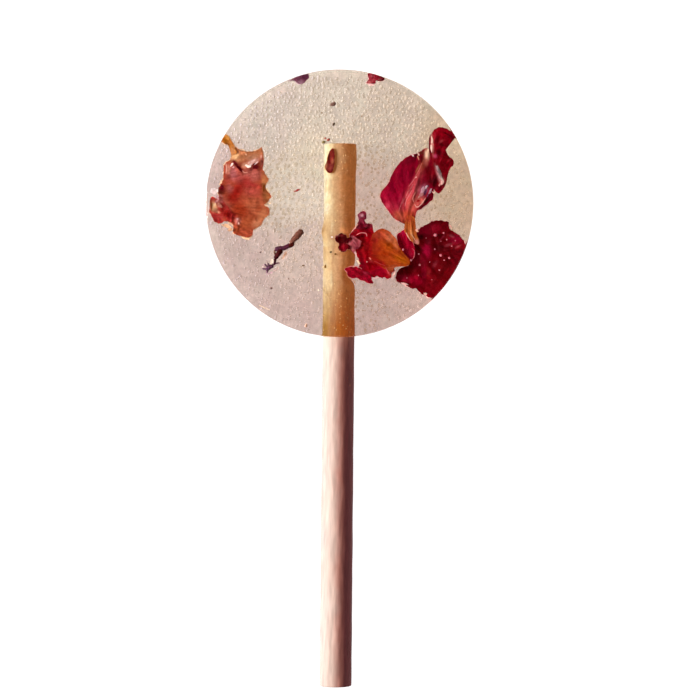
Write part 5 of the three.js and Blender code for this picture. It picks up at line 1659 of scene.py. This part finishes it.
def stick_bubbles():
    """Tiny bubbles on the upper half of the soaked wood."""
    places = []
    for _ in range(STICK_BUBBLE_TRIES):
        y = bubble_random.uniform(-24.3, 10.6)
        u = bubble_random.uniform(-0.95, 0.9)
        radius = bubble_random.uniform(*STICK_BUBBLE_RADII)
        x = stick_x(y) + u * (STICK_RADIUS + 0.05)
        z = STICK_AXIS_Z + math.sqrt(1 - u ** 2) * (STICK_RADIUS + 0.05)
        # brown bubbles fall only on the stick's right, away from the lamp: this is painted shade
        shade = PALE_BUBBLE if u < 0.35 or bubble_random.random() < 0.3 else SHADED_BUBBLE
        crowd = min(0.5, 0.12 + 0.75 * ((y + 4) / 18) ** 2)
        if y < -DISC_RADIUS + 0.8 or bubble_random.random() > crowd:
            continue
        radii = (radius * 0.8, radius * 1.7, radius * 0.6)
        places.append(((x, y, z), radii, bubble_random.uniform(-0.9, 0.9), colour(*shade)))
    scattered_balls("stick_bubbles", places, AIR_FINISH)


stick_bubbles()

# %% [markdown]
# The lollipop lies on a plain white table. A bright sky alone would give a white picture but leave the
# underside dark, so the floor itself shines a little: that is the light which comes up through the sugar.
# It bends up into a low wall, so that no edge shows from the side, and its section is spun about the
# vertical as the disc's was.

# %% Floor
FLOOR_REACH = 1.4
FLOOR_BEND = 0.2
WALL_TOP = 0.5
FLOOR_DROP = 0.02 * MM
FLOOR_GREY = (0.2, 0.2, 0.2, 1)
FLOOR_GLOW = 1.07


def floor_material():
    """Matt white that shines a little by itself."""
    material, tree, output = new_material("floor_white")
    skin = tree.nodes.new("ShaderNodeBsdfPrincipled")
    skin.inputs["Base Color"].default_value = FLOOR_GREY
    skin.inputs["Roughness"].default_value = 0.9
    skin.inputs["Specular IOR Level"].default_value = 0.0
    skin.inputs["Emission Color"].default_value = (1, 1, 1, 1)
    skin.inputs["Emission Strength"].default_value = FLOOR_GLOW
    tree.links.new(skin.outputs["BSDF"], output.inputs["Surface"])
    return material


def stage_floor():
    """A round floor that bends up into a low wall, with its section spun about Z."""
    section = [Vector((0, 0, 0)), *arc((FLOOR_REACH, FLOOR_BEND), FLOOR_BEND, -math.pi / 2, 0, 6),
               Vector((FLOOR_REACH + FLOOR_BEND, 0, WALL_TOP))]
    bm = bmesh.new()
    spin_line(bm, section, 48, 0.0001)
    bmesh.ops.translate(bm, verts=bm.verts[:], vec=(0, 0, -FLOOR_DROP))
    mesh = bpy.data.meshes.new("floor")
    bm.to_mesh(mesh)
    bm.free()
    mesh.materials.append(floor_material())
    floor = bpy.data.objects.new("floor", mesh)
    bpy.context.scene.collection.objects.link(floor)
    floor.visible_diffuse = False
    floor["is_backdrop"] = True


stage_floor()
print(f"the floor reaches {FLOOR_REACH + FLOOR_BEND:.1f} m out")

# %% [markdown]
# One soft lamp stands low on the left, as a window would, which gives the stick its bright and its dark
# side and lets creases throw short shadows. A second lamp would fill them but also add its own glints, so
# the fill is a dim rosy sky instead, which no glossy surface reflects.

# %% Lamp and sky
KEY_DISTANCE = 1.2
KEY_ELEVATION = math.radians(27)
KEY_PLACE = Vector((-KEY_DISTANCE * math.cos(KEY_ELEVATION), 0.05, KEY_DISTANCE * math.sin(KEY_ELEVATION)))
KEY_AIM = Vector((0, -0.02, 0))
KEY_SIZE = (0.25, 0.5)
KEY_POWER = 28.0
KEY_COLOUR = (1.0, 0.98, 0.96)
SKY_COLOUR = (1.0, 0.4, 0.56, 1)
SKY_STRENGTH = 0.13


def key_lamp():
    """One soft rectangular lamp, turned towards the lollipop."""
    data = bpy.data.lights.new("key", "AREA")
    data.shape = "RECTANGLE"
    data.size, data.size_y = KEY_SIZE
    data.energy = KEY_POWER
    data.color = KEY_COLOUR
    lamp = bpy.data.objects.new("key", data)
    lamp.location = KEY_PLACE
    lamp.rotation_euler = (KEY_AIM - KEY_PLACE).to_track_quat("-Z", "Y").to_euler()
    bpy.context.scene.collection.objects.link(lamp)


def rosy_sky():
    """A dim rosy light from everywhere, which glossy surfaces don't show."""
    world = bpy.data.worlds.new("studio")
    world.use_nodes = True
    background = world.node_tree.nodes["Background"]
    background.inputs["Color"].default_value = SKY_COLOUR
    background.inputs["Strength"].default_value = SKY_STRENGTH
    world.cycles_visibility.glossy = False
    bpy.context.scene.world = world


key_lamp()
rosy_sky()
bpy.context.scene.view_settings.view_transform = "Standard"
bpy.context.scene.cycles.transparent_max_bounces = 24
print(f"the lamp stands {math.degrees(KEY_ELEVATION):.0f} degrees up and gives {KEY_POWER:.0f} W")

# %% [markdown]
# The lollipop is seen from straight above, from far enough away that its sides don't show. An
# orthographic camera would do that exactly, but a real view always has some perspective, so this is a
# long lens over the middle of the view, which is placed by the frame's own millimetres.

# %% Camera
LENS = 135.0
SENSOR = 36.0
VIEW_WIDTH = 130.6
VIEW_MIDDLE = Vector((1.94, -27.4, DISC_THICKNESS))


def camera_above():
    """A long lens that looks straight down."""
    data = bpy.data.cameras.new("camera")
    data.lens = LENS
    data.sensor_width = SENSOR
    data.clip_start = 0.01
    camera = bpy.data.objects.new("camera", data)
    camera.location = (VIEW_MIDDLE + Vector((0, 0, VIEW_WIDTH * LENS / SENSOR))) * MM
    bpy.context.scene.collection.objects.link(camera)
    bpy.context.scene.camera = camera
    return camera


camera = camera_above()
print(f"the camera hangs {camera.location.z:.2f} m up and sees {VIEW_WIDTH} mm across")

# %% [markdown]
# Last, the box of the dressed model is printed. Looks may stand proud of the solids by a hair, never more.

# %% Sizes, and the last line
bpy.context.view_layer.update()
low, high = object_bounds()
print("the dressed lollipop measures", " by ".join(f"{(b - a) / MM:.1f}" for a, b in zip(low, high)), "mm")
